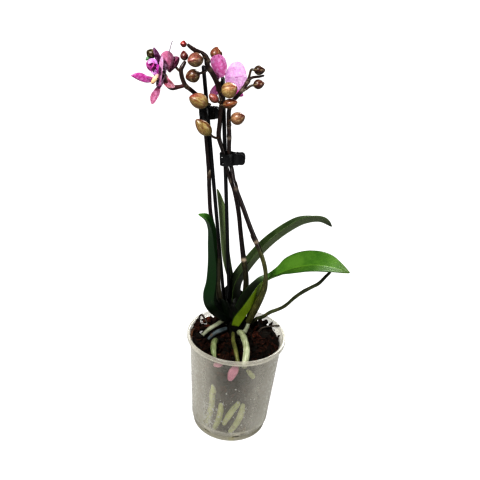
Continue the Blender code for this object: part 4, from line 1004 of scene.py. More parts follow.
def bark_material(name, dark):
    s = Shader(name, Roughness=0.85, Specular_IOR_Level=0.15)
    at = s.attr("flow", "Vector")
    tone, warm = s.attr("tone"), s.attr("warm")
    fibre = s.noise(1.0, 4, 0.65, s.mapped(at, (0.22, 1.3, 1.0)), 0.4)
    plates = s.voronoi(0.55, s.mapped(at, (0.4, 1.0, 1.0)))
    fine = s.noise(3.2, 3, 0.7, at)
    mixed = s.math("MULTIPLY_ADD", fibre, 0.62, s.math("MULTIPLY", fine, 0.38))
    brown = s.ramp(mixed, [(0.30, srgb(9, 5, 4)), (0.48, srgb(30, 17, 11)), (0.62, srgb(98, 58, 36)),
                           (0.80, srgb(172, 120, 86))])
    red = s.ramp(mixed, [(0.30, srgb(16, 7, 5)), (0.50, srgb(54, 23, 14)), (0.66, srgb(146, 84, 54)),
                         (0.82, srgb(214, 150, 112))])
    grey = s.ramp(mixed, [(0.30, srgb(8, 7, 6)), (0.52, srgb(30, 26, 21)), (0.80, srgb(92, 82, 68))])
    colour = s.mix(s.band(warm, 0.74, 0.82), s.mix(s.band(warm, 0.40, 0.30), brown, grey), red)
    colour = s.mix(s.band(tone, 0.0, 1.0, dark, 0.0, False), colour, (0.006, 0.004, 0.003))
    colour = s.mix(s.math("MULTIPLY", s.band(plates, 0.02, 0.10, 1.0, 0.0), 0.55), colour, srgb(14, 9, 7))
    s.set("Base Color", colour)
    s.set("Roughness", s.ramp(fine, [(0.3, 0.62), (0.7, 0.95)]))
    s.bump(fibre, 0.7, 0.7)
    s.bump(fine, 0.35, 0.25)
    return s.mat


def turn(rng, up, loose):
    """Random frame whose z axis leans at most loose from up."""
    z = Vector(up).normalized()
    lean = Vector((rng.gauss(0, 1), rng.gauss(0, 1), rng.gauss(0, 1))) * loose
    z = (z + lean).normalized()
    x = z.orthogonal().normalized()
    x = (Matrix.Rotation(rng.uniform(0, 2 * math.pi), 3, z) @ x).normalized()
    y = z.cross(x)
    return np.array([x[:], y[:], z[:]])


def make_bark():
    rng = random.Random(7)
    shapes = chip_shapes(rng, 26)
    clear = obstacles()
    mat = bark_material("bark_chips", 0.72)
    low_z = clear[:, 2].min()

    def place(build, centre, frame, size, hug):
        shape, faces = shapes[rng.randrange(len(shapes))]
        local = shape * size
        v = local @ frame + centre
        r = np.hypot(v[:, 0], v[:, 1])
        top = np.array([wall_inner(max(z, FOOT_H + 0.3)) for z in v[:, 2]]) - 1.05
        top = np.where(v[:, 2] > LIP, MOUTH_R - 0.9, top)
        over = r > top
        if over.any() and not hug and (r - top).max() > 1.6:
            return False
        k = np.where(over, top / np.maximum(r, 1e-6), 1.0)
        v[:, 0] *= k
        v[:, 1] *= k
        v[:, 2] = np.maximum(v[:, 2], BARK_BOTTOM + 0.2)
        near = clear[np.abs(clear[:, 2] - centre[2]) < 14]
        if len(near):
            d = np.sqrt(((v[:, None, :] - near[None, :, :3]) ** 2).sum(2)) - near[None, :, 3]
            if d.min() < 0.15:
                return False
        build.add(v, faces, tone=rng.random() ** 1.5, warm=rng.random(), flow=local + rng.uniform(-60, 60))
        return True

    top = Build()
    done, tries = 0, 0
    while done < 560 and tries < 5200:
        tries += 1
        a, r = rng.uniform(0, 2 * math.pi), 41.0 * math.sqrt(rng.random())
        x, y = r * math.cos(a), r * math.sin(a)
        size = np.array([rng.uniform(3.4, 8.0), rng.uniform(2.2, 5.0), rng.uniform(0.8, 2.2)])
        if tries > 1600:
            size *= 0.62
        depth = rng.uniform(0.2, 4.6)
        z = bark_top(x, y) - depth
        frame = turn(rng, (0, 0, 1), 0.55)
        if place(top, np.array([x, y, z]), frame, size, r > 36):
            done += 1
    top.piece("bark_chips_top", mat, stands=("bark_medium",), slot="bark", sharp=20)

    side = Build()
    done, tries = 0, 0
    while done < 760 and tries < 6000:
        tries += 1
        deg, z = rng.uniform(0, 360), rng.uniform(4.6, 86)
        size = np.array([rng.uniform(3.0, 7.5), rng.uniform(2.2, 5.0), rng.uniform(1.3, 2.8)])
        if tries > 2200:
            size *= 0.6
        inset = rng.uniform(1.2, 4.2) if done < 380 else rng.uniform(3.0, 7.5)
        p = np.array(on_wall(deg, max(z, 7.5), inset + size[2] * 0.8))
        frame = turn(rng, (p[0], p[1], 0), 0.33)
        if place(side, p, frame, size, True):
            done += 1
    side.piece("bark_chips_side", mat, stands=("bark_medium",), slot="bark", sharp=20)

    # the dark crumbly mass behind the chips
    core, n = Build(), 72
    rows = []
    for r in (0.01, 6, 12, 18, 24, 29, 33):
        rows.append([(r * math.cos(2 * math.pi * k / n), r * math.sin(2 * math.pi * k / n)) for k in range(n)])
    verts = []
    for row in rows:
        verts += [(x, y, bark_top(x, y) - 4.4) for x, y in row]
    for z in np.linspace(80, 4.6, 16):
        r = wall_inner(max(z, 7)) - (5.2 if z > 9 else 4.2)
        verts += [(r * math.cos(2 * math.pi * k / n), r * math.sin(2 * math.pi * k / n), z) for k in range(n)]
    for r in (24, 12, 0.01):
        verts += [(r * math.cos(2 * math.pi * k / n), r * math.sin(2 * math.pi * k / n), 4.2) for k in range(n)]
    verts = np.array(verts)
    r = np.hypot(verts[:, 0], verts[:, 1])[:, None]
    rough = fbm(verts, 5.0, 3, 5) * 2.2
    verts[:, :2] *= 1 + (rough[:, None] * np.minimum(r, 8) / 8 - 0.5) / np.maximum(r, 1)
    verts[:, 2] += np.where(r[:, 0] < 33.5, fbm(verts, 4.0, 3, 8) * 1.1, 0) - 0.3
    m = len(verts) // n
    core.add(verts, grid_faces(m, n), tone=0.15, warm=0.5, flow=verts)
    core.piece("bark_core", mat, stands=("bark_medium",), slot="bark", sharp=40)

    # loose crumbs and dust between the chips
    crumbs = Build()
    done = 0
    while done < 700:
        a, r = rng.uniform(0, 2 * math.pi), 41.0 * math.sqrt(rng.random())
        x, y = r * math.cos(a), r * math.sin(a)
        size = np.array([rng.uniform(0.5, 1.5), rng.uniform(0.35, 0.9), rng.uniform(0.25, 0.6)])
        done += 1
        place(crumbs, np.array([x, y, bark_top(x, y) - rng.uniform(-0.6, 3.2)]), turn(rng, (0, 0, 1), 0.8), size, False)
    crumbs.piece("bark_crumbs", mat, slot="bark", sharp=32)


# ============================================================ roots
EXTRA_ROOTS = {
    "root_rim_stub": ((-40.6, -6.5, 86, 1.0), (-41.0, -4.2, 91.5, 1.05), (-40.4, -1.4, 95.2, 1.05), (-38.6, 0.8, 95.8, 0.9)),
    "root_rear_grey": ((-25.0, 0.5, 87, 1.6), (-20.0, 3.0, 91.6, 2.1), (-15.0, 5.6, 93.2, 2.3), (-10.2, 9.4, 93.4, 1.9)),
    "root_wall_tip": ((*on_wall(-70, 80.5, 3.6), 1.6), (*on_wall(-66.5, 78, 3.2), 2.3), (*on_wall(-62, 73.8, 2.9), 2.3)),
    "root_crown_grey": ((7.5, 6.5, 93.5, 2.2), (9.4, 7.4, 98.2, 2.0), (10.6, 9.8, 102.4, 1.7)),
}


def root_material(name, pale, mid, dark, wet=0.0, streak=0.5):
    """Velamen: spongy, silvery where dry, green under it, with brown marks."""
    s = Shader(name, Roughness=0.55, Coat_Weight=wet, Coat_Roughness=0.18, Specular_IOR_Level=0.35)
    at = s.attr("flow", "Vector")
    obj = s.coords()
    lines = s.noise(1.0, 4, 0.6, s.mapped(at, (0.10, 1.5, 1.5)), 0.3)
    blot = s.noise(95, 4, 0.6, obj)
    fine = s.noise(1500, 3, 0.7, obj)
    base = s.ramp(s.math("MULTIPLY_ADD", lines, streak, s.math("MULTIPLY", blot, 1 - streak)),
                  [(0.28, dark), (0.48, mid), (0.68, pale)])
    scar = s.band(s.noise(190, 4, 0.65, obj), 0.56, 0.66)
    base = s.mix(s.math("MULTIPLY", scar, 0.65), base, srgb(92, 66, 40))
    s.set("Base Color", s.mix(s.math("MULTIPLY", fine, 0.22), base, pale))
    s.set("Roughness", s.ramp(blot, [(0.3, 0.34), (0.7, 0.72)]))
    s.bump(lines, 0.28, 0.35)
    s.bump(fine, 0.25, 0.12)
    return s.mat


def root_bump(seed, depth):
    def bump(p, along, around):
        knob = fbm(p, 7.0, 2, seed) * depth
        small = fbm(p, 1.8, 2, seed + 5) * depth * 0.35
        return knob + small
    return bump


def make_roots():
    cream = root_material("root_cream", srgb(226, 228, 208), srgb(140, 148, 108), srgb(56, 62, 38), 0.35)
    olive = root_material("root_olive_skin", srgb(150, 150, 96), srgb(84, 88, 44), srgb(30, 30, 14), 0.15)
    green = root_material("root_green_skin", srgb(176, 184, 146), srgb(104, 116, 74), srgb(44, 52, 28), 0.2)
    grey = root_material("root_grey_skin", srgb(176, 178, 160), srgb(126, 132, 108), srgb(74, 80, 62), 0.05)
    aerial = root_material("root_aerial_skin", srgb(84, 92, 54), srgb(38, 44, 20), srgb(12, 15, 7), 0.2, 0.4)
    wall = root_material("root_wall_skin", srgb(226, 228, 184), srgb(176, 184, 122), srgb(112, 122, 70), 0.2, 0.35)
    dead = root_material("root_dead_skin", srgb(126, 88, 56), srgb(62, 40, 26), srgb(16, 11, 9), 0.0, 0.6)
    twig = root_material("twig_bark", srgb(96, 84, 72), srgb(48, 40, 34), srgb(18, 15, 13), 0.0, 0.75)
    skin = {"root_front_thick": (cream, "root_pale"), "root_front_olive": (olive, "root_olive"),
            "root_front_left": (green, "root_pale"), "root_rear_left": (grey, "root_pale"),
            "root_aerial": (aerial, "root_olive")}
    for i, (name, route) in enumerate(ROOTS.items()):
        path = smooth_route(route, 0.8)
        depth = 0.16 * path[:, 3].mean()
        verts, faces, attrs = tube_shell(path, 20, root_bump(20 + i, depth), round_start=True)
        mat, slot = skin[name]
        Build().add(verts, faces, **attrs).piece(name, mat, stands=(name,), slot=slot)
    for i, (name, marks) in enumerate(WALL_ROOTS.items()):
        route = []
        for q, (deg, z) in enumerate(marks):
            r = WALL_ROOT_R * (0.45 if q == 0 and name == "root_wall_long" else 0.85 if q in (0, len(marks) - 1) else 1.12)
            route.append((*on_wall(deg, z, WALL_ROOT_R + 0.6), r))
        path = smooth_route(route, 0.9)
        verts, faces, attrs = tube_shell(path, 20, root_bump(50 + i, 0.28), round_start=True)
        Build().add(verts, faces, **attrs).piece(name, wall, stands=(name,), slot="root_pale")
    for name, route, mat in (("root_dead_arch", ROOT_ARCH, twig), ("twig", TWIG, twig)):
        path = smooth_route(route, 0.6)
        verts, faces, attrs = tube_shell(path, 12, root_bump(70, 0.12), round_start=True, round_end=name != "twig")
        Build().add(verts, faces, **attrs).piece(name, mat, stands=(name,), slot="dead_root")
    slate = root_material("root_slate_skin", srgb(120, 130, 130), srgb(58, 68, 72), srgb(20, 26, 30), 0.0)
    extra_skin = {"root_wall_tip": wall, "root_rim_stub": dead, "root_rear_grey": slate, "root_crown_grey": grey}
    for i, (name, route) in enumerate(EXTRA_ROOTS.items()):
        path = smooth_route(route, 0.7)
        verts, faces, attrs = tube_shell(path, 14, root_bump(80 + i, 0.16), round_start=True)
        Build().add(verts, faces, **attrs).piece(name, extra_skin[name], slot="root_pale")


def make_fallen():
    """Limp petals lying against the inside of the wall."""
    s = Shader("fallen_petal_skin", Roughness=0.5)
    across, along = s.attr("across"), s.attr("along")
    vein = s.wave(9.0, s.mapped(s.attr("flow", "Vector"), (0.25, 1, 1)), 2.2, 3)
    blot = s.noise(160, 3)
    pink = s.ramp(blot, [(0.3, srgb(206, 128, 158)), (0.7, srgb(236, 184, 204))])
    pink = s.mix(s.math("MULTIPLY", s.band(vein, 0.55, 0.95), 0.4), pink, srgb(172, 74, 118))
    edge = s.band(s.math("ABSOLUTE", across), 0.72, 1.0)
    s.set("Base Color", s.mix(s.math("MULTIPLY", edge, 0.6), pink, srgb(150, 96, 90)))
    s.set("Roughness", s.ramp(blot, [(0.3, 0.35), (0.7, 0.6)]))
    s.bump(vein, 0.25, 0.2)
    FALLEN_FRONT = max(range(len(FALLEN)), key=lambda k: list(FALLEN.values())[k][3])
    for i, (name, (deg, z, half_w, half_h)) in enumerate(FALLEN.items()):
        rows, cols = 26, 17
        v = np.linspace(-1, 1, rows)
        u = np.linspace(-1, 1, cols)
        U, V = np.meshgrid(u, v)
        w = half_w * np.sqrt(np.maximum(0.03, 1 - (0.965 * V) ** 2)) * (1 + 0.06 * np.sin(5 * V + i))
        ang = np.radians(deg + np.degrees(U * w / 40.0) + 3.0 * V)
        Z = z + V * half_h / 2 * (1.3 if i == FALLEN_FRONT else 1.0) - (1.5 if i == FALLEN_FRONT else 0.0)
        wob = 0.16 * fbm(np.stack([U * 4, V * 6, U * 0 + i], 2).reshape(-1, 3), 1.6, 2, 33 + i).reshape(U.shape)
        rad = (WALL_LOW_R - WALL) + ((WALL_TOP_R - WALL) - (WALL_LOW_R - WALL)) * (Z - FOOT_H) / (LIP - FOOT_H)
        outer = rad - 0.22 - 0.16 - wob
        inner = outer - 0.32 * (1 - 0.6 * U ** 2)
        A = np.stack([outer * np.cos(ang), outer * np.sin(ang), Z], 2)
        B = np.stack([inner * np.cos(ang), inner * np.sin(ang), Z], 2)
        ring = np.concatenate([A, B[:, ::-1]], 1)
        m = 2 * cols
        faces = grid_faces(rows, m)
        for off in (0, (rows - 1) * m):
            faces += [(off + k, off + k + 1, off + m - 2 - k, off + m - 1 - k) for k in range(cols - 1)]
        UU = np.concatenate([U, U[:, ::-1]], 1)
        VV = np.concatenate([V, V[:, ::-1]], 1)
        WW = np.concatenate([w, w[:, ::-1]], 1)
        flow = np.stack([VV * half_h / 2, UU * WW, VV * 0], 2).reshape(-1, 3)
        Build().add(ring.reshape(-1, 3), faces, along=(VV.ravel() + 1) / 2, across=UU.ravel(), flow=flow) \
            .piece(name, s.mat, stands=(name,), slot="fallen_petal")


make_camera()
make_studio()
make_pot()
make_bark()
make_roots()
make_fallen()


# ============================================================ crown and leaves
def make_crown():
    s = Shader("crown_skin", Roughness=0.6)
    at = s.attr("flow", "Vector")
    fibre = s.noise(1.0, 4, 0.6, s.mapped(at, (0.18, 1.6, 1.6)))
    blot = s.noise(110, 3)
    # near-black: painted shade of the crown deep among the leaf bases; the olive fibre streaks and brown blots are its
    # own colour
    colour = s.ramp(fibre, [(0.3, srgb(3, 4, 2)), (0.55, srgb(11, 14, 6)), (0.78, srgb(48, 50, 22))])
    s.set("Base Color", s.mix(s.band(blot, 0.55, 0.7), colour, srgb(30, 20, 12)))
    s.set("Roughness", s.ramp(blot, [(0.3, 0.45), (0.7, 0.8)]))
    s.bump(fibre, 0.5, 0.5)
    path = smooth_route(CROWN, 0.8)

    def bump(p, along, around):
        scar = np.abs(np.sin(along * 0.62 + 0.5 * np.sin(around))) ** 8 * 0.35
        return scar - 0.2 + fbm(p, 4.0, 3, 11) * 0.25
    verts, faces, attrs = tube_shell(path, 36, bump, round_start=True)
    build = Build().add(verts, faces, **attrs)
    # dry sheaths of old leaves that still clasp the crown (the three low ones), and four tall near-black sheets of
    # painted shade that fill the gaps between the leaf bases
    for k, (deg, low, high, r0, r1) in enumerate(((212, 88, 101, 7.4, 8.6), (330, 89, 99, 7.5, 8.8), (95, 88, 100, 7.4, 8.4),
                                                     (188, 93, 124, 7.8, 11.5), (236, 93, 121, 7.8, 10.0), (286, 93, 119, 7.8, 9.6),
                                                     (352, 93, 126, 7.8, 9.6))):
        rows, cols = 16, 15
        u, v = np.meshgrid(np.linspace(-1, 1, cols), np.linspace(0, 1, rows))
        wide = 0.95 * np.sqrt(np.maximum(0.02, 1 - v ** 3.0)) * (1 + 0.08 * np.sin(9 * v + k))
        ang = math.radians(deg) + u * wide
        r = r0 + (r1 - r0) * v ** 2 + 0.3 * fbm(np.stack([u * 5, v * 8, u * 0 + k], 2).reshape(-1, 3), 2.0, 2, k).reshape(u.shape)
        z = low + (high - low) * v - 1.2 * np.abs(u) * v
        axis_x, axis_y = -0.5 - 0.02 * (z - 90), 16 + 0.02 * (z - 90)
        A = np.stack([axis_x + r * np.cos(ang), axis_y + r * np.sin(ang), z], 2)
        q = r - 0.35
        B = np.stack([axis_x + q * np.cos(ang), axis_y + q * np.sin(ang), z], 2)
        ring = np.concatenate([A, B[:, ::-1]], 1)
        m = 2 * cols
        f = grid_faces(rows, m)
        for off in (0, (rows - 1) * m):
            f += [(off + i, off + i + 1, off + m - 2 - i, off + m - 1 - i) for i in range(cols - 1)]
        flow = np.stack([np.repeat(z[:, None, :], 2, 1).reshape(rows, -1), np.concatenate([u * 7, u[:, ::-1] * 7], 1),
                         np.zeros((rows, m))], 2).reshape(-1, 3)
        build.add(ring.reshape(-1, 3), f, along=0.5, flow=flow)
    build.piece("crown", s.mat, stands=("crown",), slot="crown")


def leaf_material(name, top, top_base_shade, under, under_base, rib, edge, tip, gloss=0.32, base_start=0.02, base_end=0.35, coat=0.12):
    """Waxy blade: cells and fine long veins, a paler midrib, an edge line, a darker tip, and painted shade that darkens
    the base of the blade.
    """
    s = Shader(name, Roughness=gloss, Coat_Weight=coat, Coat_Roughness=0.22, Specular_IOR_Level=0.32)
    flow, along, across, side = s.attr("flow", "Vector"), s.attr("along"), s.attr("across"), s.attr("top")
    obj = s.coords()
    mid = s.math("ABSOLUTE", across)
    veins = s.wave(1.15, s.mapped(flow, (0.06, 1, 1)), 1.2, 2)
    blot = s.noise(52, 4, 0.6, obj)
    cells = s.noise(1.0, 4, 0.65, s.mapped(flow, (0.7, 1.6, 1)))
    fleck = s.noise(420, 3, 0.7, obj)
    # towards the base the faces go to their base colours: near-black painted shade on the top faces and on most
    # undersides; the bright leaf's yellow-green underside base is its own colour
    basal = s.band(along, base_start, base_end, 1.0, 0.0)
    up = s.mix(basal, top, top_base_shade)
    down = s.mix(basal, under, under_base)
    colour = s.mix(side, down, up)
    colour = s.mix(s.math("MULTIPLY", s.band(blot, 0.35, 0.70, 0.0, 0.40), s.math("SUBTRACT", 1.0, basal)), colour, s.mix(side, down, rib), "MIX")
    colour = s.mix(s.math("MULTIPLY", s.band(veins, 0.55, 1.0), 0.10), colour, rib)
    colour = s.mix(s.band(cells, 0.30, 0.62, 0.26, 0.0), colour, s.mix(0.6, colour, (0.004, 0.008, 0.003)))
    colour = s.mix(s.math("MULTIPLY", s.math("MULTIPLY", s.band(mid, 0.0, 0.07, 1.0, 0.0), 0.55), s.math("SUBTRACT", 1.0, basal)), colour, rib)
    colour = s.mix(s.math("MULTIPLY", s.band(mid, 0.93, 0.99), 0.7), colour, edge)
    colour = s.mix(s.band(along, 0.90, 1.0, 0.0, 0.75), colour, tip)
    s.set("Base Color", s.mix(s.math("MULTIPLY", s.band(fleck, 0.66, 0.74), 0.25), colour, srgb(150, 160, 110)))
    s.set("Roughness", s.ramp(blot, [(0.3, gloss - 0.06), (0.7, gloss + 0.16)]))
    s.bump(veins, 0.10, 0.25)
    s.bump(cells, 0.12, 0.2)
    s.translucent(0.07, s.mix(0.15, colour, srgb(90, 140, 20)))
    return s.mat


LEAF_SIDE = {"leaf_front_right": (0, -1, 0), "leaf_rear_right": (0, -1, 0),
             "leaf_left": (0, 1, 0), "leaf_rear_tall": (-0.45, 0.9, 0)}


LEAF_TRIM = {"leaf_rear_tall": ((-0.34, 0.22, 0.20),), "leaf_rear_right": ((0.20, 0.82, 0.10),),
             "leaf_front_right": ((0.12, 0.62, 0.10),)}


def leaf_rows(name):
    d = LEAVES[name]
    path = smooth_route([(*p, w, f, r) for p, w, f, r in zip(d["route"], d["width"], d["fold"], d["roll"])], 1.4)
    P = path[:, :3]
    T = tangents(P)
    side = np.array([unit(LEAF_SIDE[name])] * len(P), float)
    side = side - (side * T).sum(1)[:, None] * T
    side /= np.linalg.norm(side, axis=1)[:, None]
    a = np.radians(path[:, 5])[:, None]
    side = side * np.cos(a) + np.cross(T, side) * np.sin(a)
    u = np.linspace(0, 1, len(P))
    half = np.maximum(path[:, 3], 0.8)
    half = half * (1 + sum(k * np.exp(-((u - c) / w) ** 2) for k, c, w in LEAF_TRIM.get(name, ())))
    end = np.clip((u - 0.955) / 0.045, 0, 1)
    half = half * np.sqrt(np.maximum(0.02, 1 - 0.9 * end ** 2))
    thick = d["thick"] * (0.55 + 0.45 * np.minimum(1, half / 8)) * 1.0
    return P, T, side, half, np.radians(path[:, 4]), thick


def make_leaves():
    # the near-black top base colours and the dark underside base colours are painted shade at the leaf bases deep in
    # the fan; leaf_front_right's yellow-green underside base is its own colour
    looks = {
        "leaf_front_right": ("leaf_bright", dict(
            top=srgb(66, 110, 36), top_base_shade=srgb(4, 9, 3), under=srgb(104, 146, 40), under_base=srgb(136, 160, 36),
            rib=srgb(128, 168, 66), edge=srgb(30, 62, 14), tip=srgb(84, 112, 28), gloss=0.34, base_start=0.34, base_end=0.47)),
        # its grey-green top and pale grey-green underside are partly the blade's own colour and partly painted sheen of
        # its glossy surface
        "leaf_rear_right": ("leaf_grey_green", dict(
            top=srgb(52, 72, 34), top_base_shade=srgb(5, 10, 3), under=srgb(112, 126, 88), under_base=srgb(20, 30, 10),
            rib=srgb(110, 128, 80), edge=srgb(64, 84, 40), tip=srgb(28, 36, 12), gloss=0.42, base_start=0.16, base_end=0.44)),
        "leaf_left": ("leaf_dark", dict(
            top=srgb(20, 62, 14), top_base_shade=srgb(3, 9, 3), under=srgb(18, 56, 14), under_base=srgb(4, 16, 4),
            rib=srgb(36, 72, 26), edge=srgb(10, 26, 8), tip=srgb(88, 140, 46), gloss=0.30, base_start=0.12, base_end=0.40)),
        "leaf_rear_tall": ("leaf_pale", dict(
            top=srgb(92, 110, 62), top_base_shade=srgb(10, 16, 6), under=srgb(120, 138, 92), under_base=srgb(20, 30, 12),
            rib=srgb(158, 170, 130), edge=srgb(70, 88, 44), tip=srgb(120, 142, 88), gloss=0.48, base_start=0.18, base_end=0.46)),
    }
    for i, name in enumerate(LEAVES):
        slot, look = looks[name]
        P, T, side, half, fold, thick = leaf_rows(name)

        def wave(u, v, i=i):
            return 0.45 * np.sin(11 * u + 1.7 * i + 1.2 * v) * np.abs(v) ** 2 * np.minimum(1, 3 * u)
        verts, faces, attrs = sheet_shell(P, T, side, half, fold, thick, across=41, sharp=0.022, wave=wave,
                                          keel=0.35, groove=0.28, margin=0.30)
        Build().add(verts, faces, **attrs).piece(name, leaf_material(name + "_skin", **look), stands=(name,), slot=slot)


def make_shade_leaf_bases():
    """Short leaf-shaped sheets in near-black: painted shade that fills the fan between the living leaves."""
    look = dict(top=srgb(10, 20, 6), top_base_shade=srgb(3, 6, 2), under=srgb(10, 22, 7), under_base=srgb(3, 7, 2),
                rib=srgb(26, 44, 16), edge=srgb(20, 34, 12), tip=srgb(16, 28, 10), gloss=0.45)
    rows = (("shade_leaf_base_rear", ((-2.0, 28.5, 97), (-4.5, 29.2, 108), (-8.0, 29.6, 119), (-10.5, 29.6, 129)),
             (8.0, 11.5, 12.0, 2.0), (22, 20, 16, 10), (-0.98, 0.2, 0)),
            ("shade_leaf_base_left", ((-9.0, 12.5, 97), (-11.5, 12.5, 107), (-14.5, 12.2, 116), (-16.5, 12.0, 123)),
             (6.0, 8.0, 7.0, 1.6), (26, 24, 20, 12), (-0.98, 0.2, 0)))
    for name, route, width, fold, side in rows:
        path = smooth_route([(*p, w, f, 0.0) for p, w, f in zip(route, width, fold)], 1.0)
        P = path[:, :3]
        T = tangents(P)
        s = np.array([unit(side)] * len(P), float)
        s = s - (s * T).sum(1)[:, None] * T
        s /= np.linalg.norm(s, axis=1)[:, None]
        u = np.linspace(0, 1, len(P))
        half = np.maximum(path[:, 3], 0.6)
        verts, faces, attrs = sheet_shell(P, T, s, half, np.radians(path[:, 4]), np.full(len(P), 1.4), across=31,
                                          sharp=0.05, wave=lambda uu, vv: 0.5 * np.sin(8 * uu + 2 * vv) * np.abs(vv) ** 2)
        Build().add(verts, faces, **attrs).piece(name, leaf_material(name + "_skin", **look), slot="leaf_dark")


# ============================================================ flower spikes
def spike_material():
    """Red-brown stem, olive under the first node, pale waxy node rings, fine streaks."""
    s = Shader("spike_skin", Roughness=0.42, Coat_Weight=0.15, Coat_Roughness=0.20)
    flow, olive, pale, red = s.attr("flow", "Vector"), s.attr("olive"), s.attr("pale"), s.attr("red")
    streak = s.noise(1.0, 4, 0.6, s.mapped(flow, (0.16, 2.2, 2.2)))
    blot = s.noise(210, 4, 0.65)
    dark = s.ramp(streak, [(0.3, srgb(8, 4, 4)), (0.55, srgb(26, 13, 11)), (0.78, srgb(64, 38, 30))])
    green = s.ramp(streak, [(0.3, srgb(34, 34, 14)), (0.55, srgb(78, 78, 38)), (0.75, srgb(134, 134, 80))])
    ruddy = s.ramp(streak, [(0.3, srgb(36, 12, 14)), (0.6, srgb(84, 34, 36)), (0.8, srgb(142, 84, 74))])
    wax = s.ramp(blot, [(0.3, srgb(140, 118, 96)), (0.7, srgb(212, 198, 178))])
    colour = s.mix(olive, dark, green)
    colour = s.mix(red, colour, ruddy)
    colour = s.mix(s.math("MULTIPLY", s.band(blot, 0.58, 0.70), 0.35), colour, srgb(70, 44, 30))
    s.set("Base Color", s.mix(pale, colour, wax))
    s.set("Roughness", s.ramp(blot, [(0.3, 0.32), (0.7, 0.55)]))
    s.bump(streak, 0.22, 0.25)
    s.bump(blot, 0.15, 0.12)
    return s.mat


def bud_stalk(root, base, tip, start_r, end_r, via=()):
    """Route of a bud's stalk: leaves its spike, then runs into the bud's axis."""
    root, base, tip = (np.array(p, float) for p in (root, base, tip))
    axis = unit(tip - base)
    end = base + axis * 0.6
    before = base - axis * min(2.2, 0.35 * np.linalg.norm(base - root))
    middle = via or [(root + before) / 2 + np.array([0, 0, -0.6])]
    return [(*root, start_r)] + [(*p, (start_r + end_r) / 2) for p in middle] + [(*before, end_r), (*end, end_r * 0.9)]


ARMS = {
    "left": [[(-56.4, 3.4, 312.0, 1.3), (-61.4, 2.2, 310.4, 1.5), (-66.4, 1.0, 310.0, 2.2),
              (-69.8, 0.3, 313.3, 2.6), (-72.2, 0.0, 317.4, 2.6), (-74.6, -0.9, 319.6, 2.6),
              (-77.6, -2.6, 318.4, 2.0)]],
    "inner": [[(-30.4, 17, 307, 1.2), (-32.2, 20.4, 309, 1.5), (-31.6, 24, 312, 1.6),
               (-29.6, 26.0, 313.6, 1.3)]],
    "outer": [],
}
# nodes on each spike: distance marks by height, ring strength, bract height
NODES = {"left": ((161.5, 0.25, 0), (234.0, 0.3, 7.5), (291, 0.2, 3.5), (311, 0.3, 3.0)),
         "inner": ((166.5, 0.75, 5.5), (236.0, 0.25, 5.0), (296, 0.2, 3.0), (304, 0.2, 3.0), (325, 0.3, 3.0), (331, 0.3, 3.0)),
         "outer": ((189.5, 0.55, 6.5), (232.0, 0.25, 5.0), (271.5, 0.3, 4.2), (281, 0.2, 3.0), (309, 0.3, 3.0), (315.5, 0.3, 2.6))}


def bract(build, p, t, side, r, height, lean=0.22):
    """A small pointed scale that clasps the stem at a node."""
    rows, cols = 12, 11
    u, v = np.meshgrid(np.linspace(-1, 1, cols), np.linspace(0, 1, rows))
    up = np.cross(t, side)
    wide = 1.25 * (1 - v ** 1.6) + 0.04
    ang = u * wide
    rad = r + 0.16 + lean * v ** 1.6 * height * 0.3
    out = side[None, None, :] * np.cos(ang)[:, :, None] + up[None, None, :] * np.sin(ang)[:, :, None]
    A = p + out * rad[:, :, None] + t * (v * height)[:, :, None]
    B = p + out * (rad - 0.22 - 0.12 * (1 - v))[:, :, None] + t * (v * height - 0.1)[:, :, None]
    ring = np.concatenate([A, B[:, ::-1]], 1)
    m = 2 * cols
    faces = grid_faces(rows, m)
    for off in (0, (rows - 1) * m):
        faces += [(off + i, off + i + 1, off + m - 2 - i, off + m - 1 - i) for i in range(cols - 1)]
    tall = np.concatenate([v, v[:, ::-1]], 1).ravel()
    flow = np.stack([tall * height, np.concatenate([ang * r, ang[:, ::-1] * r], 1).ravel(), tall * 0], 1)
    build.add(ring.reshape(-1, 3), faces, flow=flow, along=0.5, olive=0.25, red=0.35 * (1 - tall), pale=0.55 * tall ** 2)


def spike_masks(key, z, y_ring):
    """How olive, ruddy and waxy the stem is at each height."""
    olive, red = np.zeros_like(z), np.zeros_like(z)
    if key == "left":
        olive = np.clip((164 - z) / 4, 0, 1) * 0.9
        red = np.clip((z - 163) / 3, 0, 1) * np.clip((190 - z) / 12, 0, 1) * 0.35
    elif key == "inner":
        olive = np.clip((170 - z) / 6, 0, 1) * 0.35
    else:
        olive = np.clip((186 - z) / 6, 0, 1) * 0.95
    olive = np.maximum(olive, np.clip((z - 250) / 60, 0, 1) * 0.06)
    red = np.maximum(red, np.clip((z - 262) / 50, 0, 1) * 0.22)
    return olive, red


